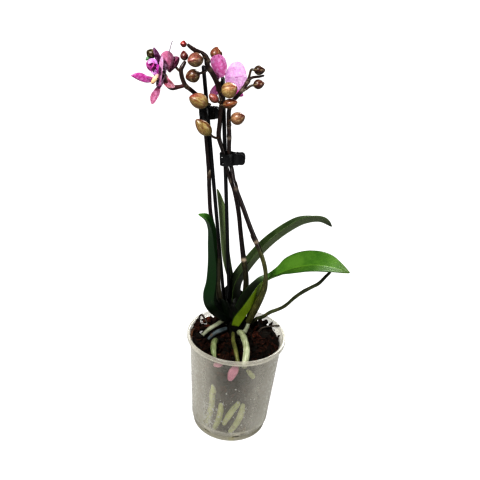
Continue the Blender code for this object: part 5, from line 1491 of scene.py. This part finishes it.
def make_spikes():
    mat = spike_material()
    routes = {"left": ("spike_left", SPIKE_LEFT), "inner": ("spike_right_inner", SPIKE_INNER),
              "outer": ("spike_right_outer", SPIKE_OUTER)}
    for q, (key, (name, route)) in enumerate(routes.items()):
        build = Build()
        path = smooth_route(route, 0.9)
        t = tangents(path[:, :3])
        swell = np.zeros(len(path))
        pale = np.zeros(len(path))
        for z, ring, _ in NODES[key]:
            d = path[:, 2] - z
            swell += 0.30 * np.exp(-(d / 1.5) ** 2) * (0.5 + 0.5 * ring)
            pale = np.maximum(pale, ring * np.exp(-((d + 0.5) / 1.2) ** 2))
        if key == "left":
            pale = np.maximum(pale, np.clip((161 - path[:, 2]) / 3, 0, 1) * 0.16)
        path[:, 3] += swell * 0.9
        verts, faces, attrs = tube_shell(path, 20, lambda p, a, g: fbm(p, 3.0, 2, 90 + q) * 0.10)
        z = verts[:, 2]
        olive, red = spike_masks(key, z, None)
        order = np.interp(attrs["along"], np.linspace(0, 1, len(path)), pale)
        build.add(verts, faces, olive=olive, red=red, pale=order, **attrs)
        side = transported(t)
        up = np.cross(t, side)
        for i, (z, ring, height) in enumerate(NODES[key]):
            if height:
                k = int(np.argmin(np.abs(path[:, 2] - z)))
                a = (2.2, 0.4, 1.6, 0.9, 2.6, 0.2)[i % 6] + q
                s = side[k] * math.cos(a) + up[k] * math.sin(a)
                bract(build, path[k, :3] - t[k] * 0.3, t[k], s, path[k, 3], height)
        for bud, (owner, root, base, tip, dia) in BUDS.items():
            if owner != key or not root:
                continue
            rows = smooth_route(bud_stalk(root, base, tip, 1.0, 0.9, STALK_VIA.get(bud, ())), 0.6)
            u = np.linspace(0, 1, len(rows))
            rows[:, 3] += 0.25 * np.exp(-(u / 0.12) ** 2) + 0.22 * np.exp(-((1 - u) / 0.10) ** 2)
            v, f, at = tube_shell(rows, 14, lambda p, a, g: fbm(p, 2.2, 2, 61) * 0.06)
            build.add(v, f, olive=0.15 + 0.55 * at["along"], red=0.40, pale=0.0, **at)
            t0 = unit(rows[2, :3] - rows[0, :3])
            bract(build, rows[0, :3] + t0 * 0.8, t0, transported(np.array([t0]))[0], 1.1, 2.6, 0.5)
        for more in ARMS[key]:
            rows = smooth_route(more, 0.6)
            v, f, at = tube_shell(rows, 18, lambda p, a, g: fbm(p, 2.5, 2, 64) * 0.08)
            flower = key == "left"
            build.add(v, f, olive=0.1, red=0.95, pale=(np.clip(at["along"] * 2 - 1.2, 0, 0.30) if flower else 0.1), **at)
        build.piece(name, mat, stands=(name,), slot="spike")


# ============================================================ buds
def bud_material(name, base, mid, tip, seam, under, gloss=0.38, under_mix=0.8):
    """Waxy sepals: flushed towards the tip, streaked, with darker seams."""
    s = Shader(name, Roughness=gloss, Coat_Weight=0.3, Coat_Roughness=0.25)
    along, groove, below, flow = s.attr("along"), s.attr("seam"), s.attr("below"), s.attr("flow", "Vector")
    streak = s.noise(1.0, 4, 0.6, s.mapped(flow, (0.30, 2.0, 2.0)))
    blot = s.noise(260, 4, 0.65)
    speck = s.noise(1900, 2, 0.6)
    wander = s.math("MULTIPLY_ADD", s.math("SUBTRACT", streak, 0.5), 0.45, along)
    colour = s.ramp(wander, [(0.10, base), (0.50, mid), (0.92, tip)])
    # the side facing down takes the underside colour: partly the buds' own olive, partly painted shade under each bud
    colour = s.mix(s.math("MULTIPLY", below, under_mix), colour, under)
    colour = s.mix(s.math("MULTIPLY", s.band(blot, 0.50, 0.70), 0.45), colour, seam)
    colour = s.mix(s.math("MULTIPLY", s.band(streak, 0.48, 0.60), 0.60), colour, seam)
    # painted highlight: pale cream streaks along the sepals
    colour = s.mix(s.math("MULTIPLY", s.band(s.noise(1.0, 2, 0.5, s.mapped(flow, (0.15, 0.8, 0.8))), 0.50, 0.66), 0.30), colour, srgb(214, 200, 150))
    colour = s.mix(s.math("MULTIPLY", s.band(speck, 0.58, 0.70), 0.25), colour, tip)
    s.set("Base Color", s.mix(s.math("MULTIPLY", groove, 0.95), colour, seam))
    s.set("Roughness", s.ramp(blot, [(0.3, gloss - 0.08), (0.7, gloss + 0.12)]))
    s.bump(streak, 0.20, 0.30)
    s.bump(blot, 0.15, 0.15)
    return s.mat


def bud_shell(base, tip, diameter, turn_deg, below_dir=(0, -0.3, -1), seams=3, bulge=0.10, beak=0.0):
    """Closed sepals meeting at seams, fuller near the base, drawn to a blunt point."""
    base, tip = np.array(base, float), np.array(tip, float)
    axis = tip - base
    length = np.linalg.norm(axis)
    t = axis / length
    ref = np.array([0, 0, 1.0]) if abs(t[2]) < 0.9 else np.array([1.0, 0, 0])
    side = unit(ref - (ref @ t) * t)
    up = np.cross(t, side)
    rings, sides = 34, 48
    s = (1 - np.cos(np.linspace(0.0, 1.0, rings) * math.pi)) / 2
    s = 0.012 + 0.976 * s
    w = np.sin(math.pi * s ** 0.86) ** 0.62 * diameter / 2
    a = 2 * np.pi * np.arange(sides) / sides
    A, S = np.meshgrid(a, s)
    W = np.repeat(w[:, None], sides, 1)
    phase = math.radians(turn_deg)
    k = seams
    d = np.abs((((A - phase) * k / (2 * np.pi)) % 1.0) - 0.5) * 2        # 1 on a seam
    arc = (1 - d) * np.pi / k * W
    groove = np.exp(-(arc / 0.26) ** 2) * np.clip((S - 0.10) / 0.2, 0, 1)
    lobe = 0.035 * np.cos((A - phase) * k) * np.clip((S - 0.05) / 0.3, 0, 1)
    R = W * (0.985 + lobe) - 0.20 * groove * np.clip(W / 2.5, 0.2, 1)
    out = side * np.cos(A)[:, :, None] + up * np.sin(A)[:, :, None]
    V = base + t * (S * length)[:, :, None] + out * R[:, :, None]
    down = unit(below_dir)
    V = V + down * (bulge * diameter * 0.25 * np.sin(np.pi * S) * 0.5)[:, :, None]
    verts = np.vstack([V.reshape(-1, 3), base, tip - t * 0.05])
    faces = grid_faces(rings, sides)
    n = rings * sides
    faces += [(n, (q + 1) % sides, q) for q in range(sides)]
    faces += [(n + 1, n - sides + q, n - sides + (q + 1) % sides) for q in range(sides)]
    # below marks the side that faces below_dir, where the underside colour with its painted shade goes
    below = np.clip((out @ down) * 1.6 + 0.1, 0, 1)
    below = below * below * (3 - 2 * below)
    flow = np.stack([S * length, R * np.cos(A) + 5, R * np.sin(A)], 2).reshape(-1, 3)
    return verts, faces, dict(along=np.concatenate([S.ravel(), [0, 1]]), seam=np.concatenate([groove.ravel(), [0, 0]]),
                              below=np.concatenate([below.ravel(), [0, 0]]),
                              flow=np.vstack([flow, [[0, 5, 0], [length, 5, 0]]]))


BUD_LOOKS = {
    # name: slot, base, middle, tip, seam, underside (the bud's own olive, darkened as painted shade), seam turn,
    # direction of the underside
    "bud_terminal_red": ("bud_red", (96, 26, 28), (150, 40, 40), (196, 96, 84), (54, 10, 14), (70, 18, 18), 20, (0, 0, -1)),
    "bud_top_left": ("bud_brown", (70, 30, 26), (112, 46, 46), (118, 50, 50), (40, 12, 14), (48, 22, 18), 80, (0.6, 0, -1)),
    "bud_top_centre": ("bud_brown", (100, 82, 54), (142, 92, 78), (150, 88, 80), (54, 26, 22), (84, 76, 44), 40, (0.2, -0.2, -1)),
    "bud_centre": ("bud_brown", (66, 54, 26), (100, 62, 40), (112, 64, 46), (40, 20, 14), (62, 48, 24), 65, (0.1, 0, -1)),
    "bud_top_right": ("bud_brown", (84, 50, 34), (130, 74, 52), (150, 92, 68), (50, 22, 16), (72, 40, 26), 100, (0.3, 0, -1)),
    "bud_low_left": ("bud_brown", (110, 58, 42), (168, 92, 84), (184, 112, 106), (72, 26, 28), (104, 58, 42), 35, (0, 0, -1)),
    "bud_low_right": ("bud_brown", (74, 38, 24), (106, 58, 38), (120, 68, 48), (150, 92, 52), (60, 32, 20), 92, (0, 0, -1)),
    "bud_cream_right": ("bud_cream", (128, 118, 64), (184, 156, 108), (176, 124, 96), (104, 52, 40), (128, 112, 64), 60, (0.2, -0.2, -1)),
    "bud_cream_left": ("bud_cream", (122, 116, 52), (198, 168, 124), (150, 66, 66), (110, 36, 40), (120, 112, 54), 25, (0.8, -0.2, -0.6)),
    "bud_hanging": ("bud_cream", (120, 112, 54), (176, 142, 92), (112, 40, 48), (88, 24, 32), (128, 116, 62), 75, (0.7, -0.2, -0.6)),
    "bud_round_right": ("bud_cream", (128, 102, 68), (176, 136, 104), (96, 50, 36), (84, 40, 30), (118, 90, 60), 50, (0.3, -0.2, -1)),
    "bud_fork_upper": ("bud_brown", (44, 26, 20), (70, 36, 28), (84, 46, 36), (26, 12, 10), (40, 24, 18), 55, (0, 0, -1)),
    "bud_fork_lower": ("bud_brown", (58, 28, 22), (92, 42, 34), (104, 50, 40), (38, 14, 12), (52, 26, 20), 15, (0, 0, -1)),
    "bud_far_left": ("bud_olive", (44, 36, 14), (84, 58, 22), (60, 50, 20), (24, 14, 6), (40, 30, 12), 70, (0, 0, -1)),
}


def make_buds():
    for name, (owner, root, base, tip, dia) in BUDS.items():
        slot, lo, mid, hi, seam, under, turned, down = BUD_LOOKS[name]
        verts, faces, attrs = bud_shell(base, tip, dia, turned, down)
        mat = bud_material(name + "_skin", srgb(*lo), srgb(*mid), srgb(*hi), srgb(*seam), srgb(*under))
        Build().add(verts, faces, **attrs).piece(name, mat, stands=(name,), slot=slot)


# ============================================================ flowers
def tepal_material(name, centre, blade, rim, vein, spot, under, gloss=0.45, through=0.30, spots=0.5, veins=0.6, density=0.55,
                   midline=0.0, mottle=0.25, pale=(0.9, 0.62, 0.86)):
    """Thin petal: forked veins, freckles towards the base, paler or darker rim."""
    s = Shader(name, Roughness=gloss, Sheen_Weight=0.25, Sheen_Roughness=0.4)
    flow, along, across, side = s.attr("flow", "Vector"), s.attr("along"), s.attr("across"), s.attr("top")
    fan = s.attr("fan", "Vector")
    mid = s.math("ABSOLUTE", across)
    warp = s.noise(0.35, 2, 0.5, flow)
    vein_map = s.wave(density, s.mapped(fan, (0.2, 1, 1)), 1.4, 2)
    vein_line = s.band(vein_map, 0.62, 0.97)
    freckle = s.band(s.noise(1.5, 2, 0.5, s.mapped(flow, (0.7, 1.0, 1))), 0.56, 0.66)
    blot = s.noise(150, 3, 0.6)
    wander = s.math("MULTIPLY_ADD", s.math("SUBTRACT", warp, 0.5), 0.5, along)
    colour = s.ramp(wander, [(0.05, centre), (0.45, blade), (0.97, rim)])
    colour = s.mix(s.math("MULTIPLY", vein_line, veins), colour, vein)
    colour = s.mix(s.math("MULTIPLY", s.math("MULTIPLY", freckle, s.band(along, 0.15, 0.85, 1.0, 0.25)), spots), colour, spot)
    colour = s.mix(s.math("MULTIPLY", s.band(mid, 0.80, 1.0), 0.45), colour, rim)
    colour = s.mix(s.band(side, 0.2, 0.8, 0.55, 0.0), colour, under)
    if midline:
        line = s.math("MULTIPLY", s.band(s.math("ABSOLUTE", s.math("ADD", across, s.math("MULTIPLY", s.math("SUBTRACT", warp, 0.5), 0.06))),
                                         0.0, 0.035, 1.0, 0.0), s.band(along, 0.72, 0.9, midline, 0.0))
        colour = s.mix(line, colour, vein)
    colour = s.mix(s.math("MULTIPLY", s.band(blot, 0.4, 0.7), 0.25), colour, blade)
    patch = s.band(s.noise(430, 3, 0.65), 0.46, 0.58)
    colour = s.mix(s.math("MULTIPLY", patch, mottle), colour, pale)
    dots = s.band(s.noise(620, 2, 0.6), 0.58, 0.66)
    colour = s.mix(s.math("MULTIPLY", s.math("MULTIPLY", dots, spots), 0.7), colour, spot)
    s.set("Base Color", colour)
    s.set("Roughness", s.ramp(blot, [(0.3, gloss - 0.08), (0.7, gloss + 0.12)]))
    s.bump(vein_map, 0.22, 0.35)
    s.bump(s.noise(900, 3, 0.6), 0.12, 0.1)
    s.translucent(through, colour)
    return s.mat


def tepal_outline(kind, u):
    """Half width against distance from the claw, 1 at the broadest."""
    tables = {
        "sepal": ((0, 0.34), (0.08, 0.46), (0.25, 0.78), (0.45, 1.0), (0.65, 0.96), (0.82, 0.72), (0.93, 0.44), (1, 0.10)),
        "petal": ((0, 0.22), (0.08, 0.40), (0.22, 0.80), (0.40, 1.04), (0.60, 1.08), (0.78, 0.94), (0.91, 0.62), (1, 0.14)),
        "blunt": ((0, 0.26), (0.10, 0.52), (0.28, 0.92), (0.50, 1.08), (0.72, 1.06), (0.88, 0.84), (0.96, 0.56), (1, 0.22)),
        "strap": ((0, 0.55), (0.12, 0.70), (0.35, 0.92), (0.55, 1.0), (0.75, 0.92), (0.90, 0.62), (0.97, 0.34), (1, 0.10)),
    }
    t = np.array(tables[kind])
    rows = smooth_route([(a, b, 0.0) for a, b in t], 0.02)
    return np.interp(u, rows[:, 0], rows[:, 1])


def tepal(name, spec, kind, mat, slot, curl=0.0, ruffle=0.35, seed=0, lobes=0, thick=0.55, own=True):
    base, mid, tip, half, face, cup = spec
    path = smooth_route((base, mid, tip), 0.45)
    P = path[:, :3]
    T = tangents(P)
    u = np.linspace(0, 1, len(P))
    n = np.array([unit(face)] * len(P))
    n = n - (n * T).sum(1)[:, None] * T
    n /= np.linalg.norm(n, axis=1)[:, None]
    side = np.cross(T, n)
    w = half * tepal_outline(kind, u)
    if lobes:
        w = w * (1 + 0.07 * np.sin(lobes * math.pi * u + seed))
    fold = np.radians(10 + 12 * cup) * np.ones(len(P))

    def cup_it(uu, vv):
        return (0.22 * half * cup * 0.5) * (vv ** 2) * np.sin(np.pi * np.clip(uu, 0.02, 1)) * 0.6 + curl * uu ** 3

    def wave(uu, vv):
        edge = np.abs(vv) ** 2.5
        return ruffle * edge * np.sin(9.0 * uu + 3 * vv + seed) + 0.16 * np.sin(vv * 9 + uu * 2 + seed) * np.sin(np.pi * uu)
    thick_rows = np.full(len(P), thick) * (0.9 + 0.3 * (1 - u))
    verts, faces, attrs = sheet_shell(P, T, side, w, fold, thick_rows, across=33, sharp=0.3, cup=cup_it, wave=wave,
                                      keel=0.12, groove=0.10, margin=0.30)
    spread = attrs["across"] * (2.0 + 5.0 * attrs["along"] ** 0.8)
    fan = np.stack([attrs["along"] * 9, spread, attrs["top"]], 1)
    Build().add(verts, faces, fan=fan, **attrs).piece(name, mat, stands=(name,) if own else (), slot=slot)


def make_flowers():
    magenta = dict(centre=srgb(70, 8, 52), blade=srgb(196, 30, 156), rim=srgb(226, 96, 190), vein=srgb(110, 6, 86),
                   spot=srgb(78, 6, 56), under=srgb(204, 96, 172))
    mauve = dict(centre=srgb(186, 36, 138), blade=srgb(222, 116, 190), rim=srgb(238, 184, 224), vein=srgb(196, 54, 150),
                 spot=srgb(176, 28, 124), under=srgb(236, 160, 212))
    # the left flower's dorsal sepal is dark purple as painted shade on its shaded back
    deep_shade = dict(centre=srgb(44, 8, 36), blade=srgb(92, 18, 76), rim=srgb(128, 34, 110), vein=srgb(36, 4, 30),
                spot=srgb(30, 4, 24), under=srgb(104, 30, 88))
    dusty = dict(centre=srgb(112, 40, 74), blade=srgb(196, 112, 148), rim=srgb(206, 132, 166), vein=srgb(124, 40, 84),
                 spot=srgb(106, 24, 66), under=srgb(200, 124, 158))
    lilac = dict(centre=srgb(244, 196, 240), blade=srgb(255, 228, 252), rim=srgb(252, 232, 250), vein=srgb(190, 110, 180),
                 spot=srgb(160, 60, 140), under=srgb(244, 208, 242))
    ruddy = dict(centre=srgb(96, 20, 60), blade=srgb(150, 40, 96), rim=srgb(110, 30, 70), vein=srgb(70, 10, 44),
                 spot=srgb(60, 8, 38), under=srgb(150, 62, 108))
    F, G = FLOWER_LEFT, FLOWER_RIGHT
    tepal("flower_left_sepal_dorsal", F["flower_left_sepal_dorsal"], "sepal", tepal_material("dorsal_skin", **deep_shade),
          "petal_magenta", ruffle=0.15, seed=1)
    tepal("flower_left_petal_upper", F["flower_left_petal_upper"], "petal", tepal_material("petal_upper_skin", **dusty),
          "petal_pink", ruffle=0.5, seed=2)
    tepal("flower_left_petal_rear", F["flower_left_petal_rear"], "sepal", tepal_material("petal_rear_skin", **ruddy),
          "petal_pink", ruffle=0.5, seed=3)
    tepal("flower_left_petal_front", F["flower_left_petal_front"], "petal", tepal_material("petal_front_skin", **magenta),
          "petal_magenta", ruffle=0.4, seed=4)
    tepal("flower_left_sepal_lower", F["flower_left_sepal_lower"], "sepal", tepal_material("sepal_lower_skin", spots=0.9, **dusty),
          "petal_pink", ruffle=0.3, seed=5)
    tepal("flower_left_lip", F["flower_left_lip"], "blunt", tepal_material("lip_skin", **magenta), "petal_magenta",
          ruffle=0.5, seed=6)
    tepal("flower_right_sepal_dorsal", G["flower_right_sepal_dorsal"], "blunt",
          tepal_material("right_dorsal_skin", spots=0.95, veins=0.95, density=0.8, through=0.5, mottle=0.7, **mauve), "petal_pink", ruffle=0.4, seed=7)
    tepal("flower_right_petal_left", G["flower_right_petal_left"], "blunt", tepal_material("right_left_skin", **magenta),
          "petal_pink", ruffle=0.4, seed=8)
    tepal("flower_right_petal_right", G["flower_right_petal_right"], "blunt",
          tepal_material("right_petal_skin", spots=0.30, veins=0.30, through=0.75, midline=0.95, mottle=0.7, pale=(0.98, 0.86, 0.97), **lilac), "petal_pale", ruffle=0.35, seed=9)
    tepal("flower_right_sepal_lower_left", G["flower_right_sepal_lower_left"], "strap",
          tepal_material("right_lower_left_skin", **mauve), "petal_pink", ruffle=0.3, seed=10)
    tepal("flower_right_sepal_lower_right", G["flower_right_sepal_lower_right"], "strap",
          tepal_material("right_lower_right_skin", **magenta), "petal_pink", ruffle=0.3, seed=11)
    tepal("flower_right_lip", G["flower_right_lip"], "blunt", tepal_material("right_lip_skin", **magenta), "petal_pink",
          ruffle=0.4, seed=12)


def make_flower_details():
    """The parts inside the opening flower that the photo's view shows: side sepal, lobes, column."""
    # the near-black maroon of the two throat pieces is painted shade in the hollow where the tepals meet
    shade_maroon = dict(centre=srgb(30, 4, 22), blade=srgb(62, 10, 44), rim=srgb(96, 26, 72), vein=srgb(24, 2, 18),
                  spot=srgb(20, 2, 14), under=srgb(52, 10, 40))
    striped = dict(centre=srgb(110, 30, 48), blade=srgb(176, 74, 98), rim=srgb(226, 176, 182), vein=srgb(96, 18, 40),
                   spot=srgb(84, 12, 34), under=srgb(206, 130, 146))
    pale = dict(centre=srgb(170, 96, 140), blade=srgb(208, 152, 190), rim=srgb(226, 186, 214), vein=srgb(150, 70, 124),
                spot=srgb(120, 40, 96), under=srgb(206, 156, 192))
    frill = dict(centre=srgb(206, 120, 214), blade=srgb(226, 164, 230), rim=srgb(238, 200, 240), vein=srgb(176, 70, 176),
                 spot=srgb(150, 30, 140), under=srgb(214, 140, 220))
    bright = dict(centre=srgb(120, 6, 100), blade=srgb(190, 14, 164), rim=srgb(206, 60, 190), vein=srgb(110, 0, 92),
                  spot=srgb(80, 0, 66), under=srgb(170, 20, 146))
    rows = (
        ("flower_left_sepal_side", ((-72.4, 0.2, 319.4), (-68.9, -1.8, 313.4), (-63.6, -0.6, 310.4), 3.0, (-0.2, -0.9, 0.3), 0.8),
         "sepal", striped, 31, 0.8),
        ("flower_left_petal_near", ((-75.2, -3.4, 310.6), (-74.2, -4.0, 320.5), (-73.4, -3.0, 332.4), 2.0, (-0.3, -0.95, 0), 0.6),
         "strap", pale, 32, 0.3),
        ("flower_left_throat", ((-71.0, -2.4, 320.2), (-71.2, -2.8, 324.6), (-71.0, -2.4, 329.4), 1.5, (-0.1, -1, 0), 0.4),
         "strap", shade_maroon, 33, 0.2),
        ("flower_left_throat_low", ((-72.2, -2.2, 320.0), (-74.2, -3.6, 314.4), (-75.8, -3.0, 309.2), 2.8, (-0.1, -1, 0.1), 0.6),
         "strap", shade_maroon, 34, 0.2),
        ("flower_left_lip_frill", ((-76.4, -5.2, 326.6), (-79.8, -6.0, 328.4), (-83.2, -6.0, 326.6), 2.0, (0, -0.7, 0.7), 1.0),
         "blunt", frill, 35, 0.2),
        ("flower_left_lip_lobe", ((-77.0, -4.2, 318.4), (-77.9, -5.6, 322.6), (-76.6, -5.2, 327.0), 3.4, (-0.3, -0.9, 0.1), 0.8),
         "blunt", bright, 36, 0.3),
        ("flower_left_lip_side", ((-76.0, -5.0, 318.2), (-78.0, -6.2, 320.6), (-80.2, -6.0, 321.4), 1.9, (-0.2, -0.8, 0.5), 0.8),
         "blunt", frill, 37, 0.2),
    )
    for name, spec, kind, look, seed, veins in rows:
        tepal(name, spec, kind, tepal_material(name + "_skin", veins=veins, spots=0.5, **look), "petal_magenta",
              ruffle=0.3, seed=seed, thick=0.45, own=False)
    s = Shader("column_skin", Roughness=0.4)
    blot = s.noise(420, 3, 0.6)
    skin = s.ramp(s.attr("along"), [(0.0, srgb(196, 130, 150)), (0.5, srgb(222, 200, 160)), (1.0, srgb(196, 160, 120))])
    s.set("Base Color", s.mix(s.band(blot, 0.55, 0.62, 0.0, 0.8), skin, srgb(130, 48, 28)))
    s.set("Roughness", s.ramp(blot, [(0.3, 0.3), (0.7, 0.55)]))
    s.bump(blot, 0.2, 0.15)
    path = smooth_route(((-76.0, -4.6, 319.4, 1.3), (-77.8, -5.6, 316.4, 1.9), (-79.6, -6.0, 313.4, 1.5)), 0.4)
    v, f, at = tube_shell(path, 18, lambda p, a, g: fbm(p, 2.0, 2, 71) * 0.12, round_start=True)
    Build().add(v, f, **at).piece("flower_left_column", s.mat, slot="petal_pale")
    s = Shader("thread_skin", Roughness=0.6)
    fine = s.noise(900, 3)
    s.set("Base Color", s.ramp(fine, [(0.3, srgb(84, 66, 84)), (0.7, srgb(140, 122, 136))]))
    s.bump(fine, 0.2, 0.1)
    path = smooth_route(((-68.7, 0.4, 335.4, 0.34), (-67.7, 0.6, 340.0, 0.28), (-66.7, 0.5, 343.2, 0.30)), 0.4)
    v, f, at = tube_shell(path, 10, None)
    Build().add(v, f, **at).piece("flower_left_thread", s.mat, slot="petal_pink")
    s = Shader("young_tip_skin", Roughness=0.5)
    fine = s.noise(700, 3)
    s.set("Base Color", s.ramp(fine, [(0.3, srgb(60, 96, 60)), (0.7, srgb(110, 150, 104))]))
    s.bump(fine, 0.2, 0.1)
    v, f, at = bud_shell((-84.6, 8.4, 330.2), (-87.4, 6.6, 327.4), 2.6, 10)
    Build().add(v, f, **at).piece("bud_far_left_tip", s.mat, slot="bud_olive")


# ============================================================ rods and clips
def black_plastic(name, gloss, drawn=None):
    """Moulded black plastic: faint mottling, fine scratches, patches of dust."""
    s = Shader(name, Roughness=gloss, Coat_Weight=0.15, Coat_Roughness=0.12)
    at = s.coords()
    scratch = s.noise(900, 4, 0.7, s.mapped(at, drawn or (1, 1, 0.15)))
    mottle = s.noise(300, 4, 0.6)
    dust = s.noise(130, 4, 0.7)
    colour = s.ramp(mottle, [(0.3, (0.0035, 0.0035, 0.004)), (0.7, (0.010, 0.010, 0.011))])
    s.set("Base Color", s.mix(s.math("MULTIPLY", s.band(dust, 0.60, 0.80), 0.18), colour, srgb(96, 94, 88)))
    s.set("Roughness", s.ramp(scratch, [(0.3, gloss - 0.10), (0.7, gloss + 0.16)]))
    s.bump(scratch, 0.10, 0.08)
    s.bump(mottle, 0.08, 0.15)
    return s.mat


def make_stakes():
    mat = black_plastic("rod_plastic", 0.30)
    for name, (a, b) in (("stake_left", STAKE_LEFT), ("stake_right", STAKE_RIGHT)):
        path = smooth_route([(*a, STAKE_R), (*b, STAKE_R)], 2.5)

        def bump(p, along, around):
            seam = 0.05 * np.exp(-((np.mod(around, np.pi) - 1.2) / 0.10) ** 2)
            return seam + 0.02 * fbm(p, 5.0, 2, 3) - 0.02
        path[-1, :3] -= unit(path[-1, :3] - path[0, :3]) * STAKE_R * 0.9
        verts, faces, attrs = tube_shell(path, 32, bump)
        Build().add(verts, faces, **attrs).piece(name, mat, stands=(name,), slot="stake_plastic")


def steel(name, drawn):
    s = Shader(name, Metallic=1.0, Roughness=0.3)
    line = s.noise(1400, 3, 0.7, s.mapped(s.coords(), drawn))
    stain = s.noise(500, 3, 0.6)
    s.set("Base Color", s.ramp(stain, [(0.3, (0.30, 0.29, 0.28)), (0.7, (0.52, 0.52, 0.53))]))
    s.set("Roughness", s.ramp(line, [(0.3, 0.22), (0.7, 0.42)]))
    s.bump(line, 0.10, 0.05)
    return s.mat


def make_clips():
    plastic = black_plastic("clip_plastic_skin", 0.26, (1, 1, 0.6))
    pin_mat, wire_mat = steel("pin_metal", (1, 1, 0.1)), steel("wire_metal", (1, 1, 1))
    rods = {"clip_left": STAKE_LEFT, "clip_right": STAKE_RIGHT}
    half = CLIP_H / 2
    for name, (centre, bore, lever) in CLIPS.items():
        rod = rods[name]
        h = (Vector(rod[1]) - Vector(rod[0])).normalized()
        v = Vector((0, 1, 0))
        u = v.cross(h)
        mid_r = bore + CLIP_WALL / 2
        reach = mid_r + 1.6
        away = KNUCKLE_R + 0.35 + CLIP_WALL / 2
        hinge = Vector(centre) + u * reach
        frame = Matrix(((u.x, v.x, h.x, hinge.x), (u.y, v.y, h.y, hinge.y), (u.z, v.z, h.z, hinge.z), (0, 0, 0, 1)))

        def strip(sign, mid_r=mid_r, reach=reach, away=away, lever=lever):
            pts = []
            start, end = 176, math.degrees(math.asin(min(0.95, away / mid_r)))
            for i in range(29):
                a = math.radians(start + (end - start) * i / 28)
                pts.append((mid_r * math.cos(a) - reach, sign * mid_r * math.sin(a)))
            pts += [(0, sign * away), (1.2, sign * (away + 0.18)), (2.4, sign * (away + 0.5))]
            for i in range(1, 7):
                t = i / 6
                pts.append((2.4 + (lever - 2.4) * t, sign * (away + 0.5 + (LEVER_SPREAD - 0.5) * t)))
            return pts

        def ribbon(label, line, width, low, high):
            left, right = [], []
            for i, (x, y) in enumerate(line):
                a, b = line[max(i - 1, 0)], line[min(i + 1, len(line) - 1)]
                d = math.hypot(b[0] - a[0], b[1] - a[1])
                nx, ny = -(b[1] - a[1]) / d, (b[0] - a[0]) / d
                left.append((x + nx * width, y + ny * width))
                right.append((x - nx * width, y - ny * width))
            return prism(label, left + right[::-1], low, high)

        def jaw(label, sign, knuckles, teeth, body):
            obj = ribbon(f"{name}_{label}", strip(sign), CLIP_WALL / 2, -half, half)
            tip, root = -reach - mid_r - 3, -reach - mid_r * 0.55
            cuts = []
            for low, high in teeth:
                box = [(tip, -sign * 0.5), (root, -sign * 0.5), (root, sign * (mid_r + 2)), (tip, sign * (mid_r + 2))]
                cuts.append(prism("gap", box, low, high))
            boolean(obj, cuts, "DIFFERENCE")
            pad_r = 0.45 * CLIP_H
            pad = [(-reach - mid_r - 2, -half - 1), (0.5, -half - 1), (2.0, -pad_r)]
            pad += [(lever - 3.2 + 3.6 * math.sin(t), -pad_r * math.cos(t)) for t in np.linspace(0.25, 2.9, 19)]
            pad += [(2.0, pad_r), (0.5, half + 1), (-reach - mid_r - 2, half + 1)]
            boolean(obj, [prism("form", pad, -2 * mid_r, 2 * mid_r, "Y")], "INTERSECT")
            bodies = []
            for low, high in knuckles:
                block = [(-0.9, 0), (0.9, 0), (0.9, sign * (away + 0.13)), (-0.9, sign * (away + 0.13))]
                barrel = prism("barrel", circle(0, 0, KNUCKLE_R, 36), low, high)
                boolean(barrel, [prism("web", block, low, high)], "UNION")
                bodies.append(barrel)
            # grip ridges across the finger pad
            slope = math.atan2(LEVER_SPREAD - 0.5, lever - 2.4)
            for i in range(4 if lever < 7 else 5):
                x = 3.0 + i * 0.72
                y = away + 0.5 + (x - 2.4) * math.tan(slope) + CLIP_WALL / 2 - 0.05
                run = pad_r * (0.86 if x < lever - 1.2 else 0.6)
                bodies.append(prism("ridge", [(p, sign * q) for p, q in circle(x, y, 0.20, 10)], -run, run))
            boolean(obj, bodies, "UNION")
            boolean(obj, [prism("bore", circle(0, 0, PIN_R + 0.3, 24), -half - 1, half + 1)], "DIFFERENCE")
            obj.data.transform(Matrix.Scale(MM, 4) @ frame)
            bev = obj.modifiers.new("edge", "BEVEL")
            bev.width, bev.segments, bev.limit_method, bev.angle_limit = 0.00016, 2, "ANGLE", math.radians(38)
            bev.use_clamp_overlap = True
            depsgraph = bpy.context.evaluated_depsgraph_get()
            mesh = bpy.data.meshes.new_from_object(obj.evaluated_get(depsgraph))
            obj.modifiers.clear()
            obj.data = mesh
            mesh.materials.clear()
            mesh.materials.append(plastic)
            mesh.shade_smooth()
            mesh.set_sharp_from_angle(angle=math.radians(30))
            obj.name = f"{name}_{label}_shell"
            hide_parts(f"{name}_{label}")
            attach(obj, body)

        jaw("jaw_front", -1, [(-half, -half + 2.0), (half - 2.0, half)], [(-3.4, -1.7), (1.7, 3.4)], ROOT)
        jaw("jaw_rear", 1, [(-half + 2.3, -half + 4.3)], [(-0.8, 0.8)], name + "_jaw")

        at = frame @ Matrix.Identity(4)
        z = half + 0.4
        prof = [(0, -z), (PIN_R * 0.6, -z + 0.02), (PIN_R - 0.06, -z + 0.14), (PIN_R, -z + 0.3), (PIN_R, z - 0.3),
                (PIN_R - 0.06, z - 0.14), (PIN_R * 0.6, z - 0.02), (0, z)]
        verts, faces = lathe_shell(prof, 28)
        verts = np.array([(at @ Vector(p))[:] for p in verts])
        Build().add(verts, faces).piece(f"{name}_pin", pin_mat, stands=(f"{name}_pin",), slot="pin_steel", sharp=40)
        wire, coil_r, turns = 0.26, 1.24, 3.25
        low, high = -half + 4.9, half - 2.6
        pts = [(3.3, -2.15, low, wire), (2.2, -1.78, low, wire), (1.0, -1.4, low, wire)]
        steps = round(turns * 24)
        for i in range(steps + 1):
            a = -math.pi / 2 - 2 * math.pi * turns * i / steps
            pts.append((coil_r * math.cos(a), coil_r * math.sin(a), low + (high - low) * i / steps, wire))
        pts = np.array([(*(at @ Vector(p[:3]))[:], p[3]) for p in pts])
        verts, faces, attrs = tube_shell(pts, 12, None, round_end=False)
        Build().add(verts, faces, **attrs).piece(f"{name}_spring", wire_mat, stands=(f"{name}_spring",), slot="spring_steel")


make_crown()
make_leaves()
make_shade_leaf_bases()
make_spikes()
make_buds()
make_flowers()
make_flower_details()
make_stakes()
make_clips()
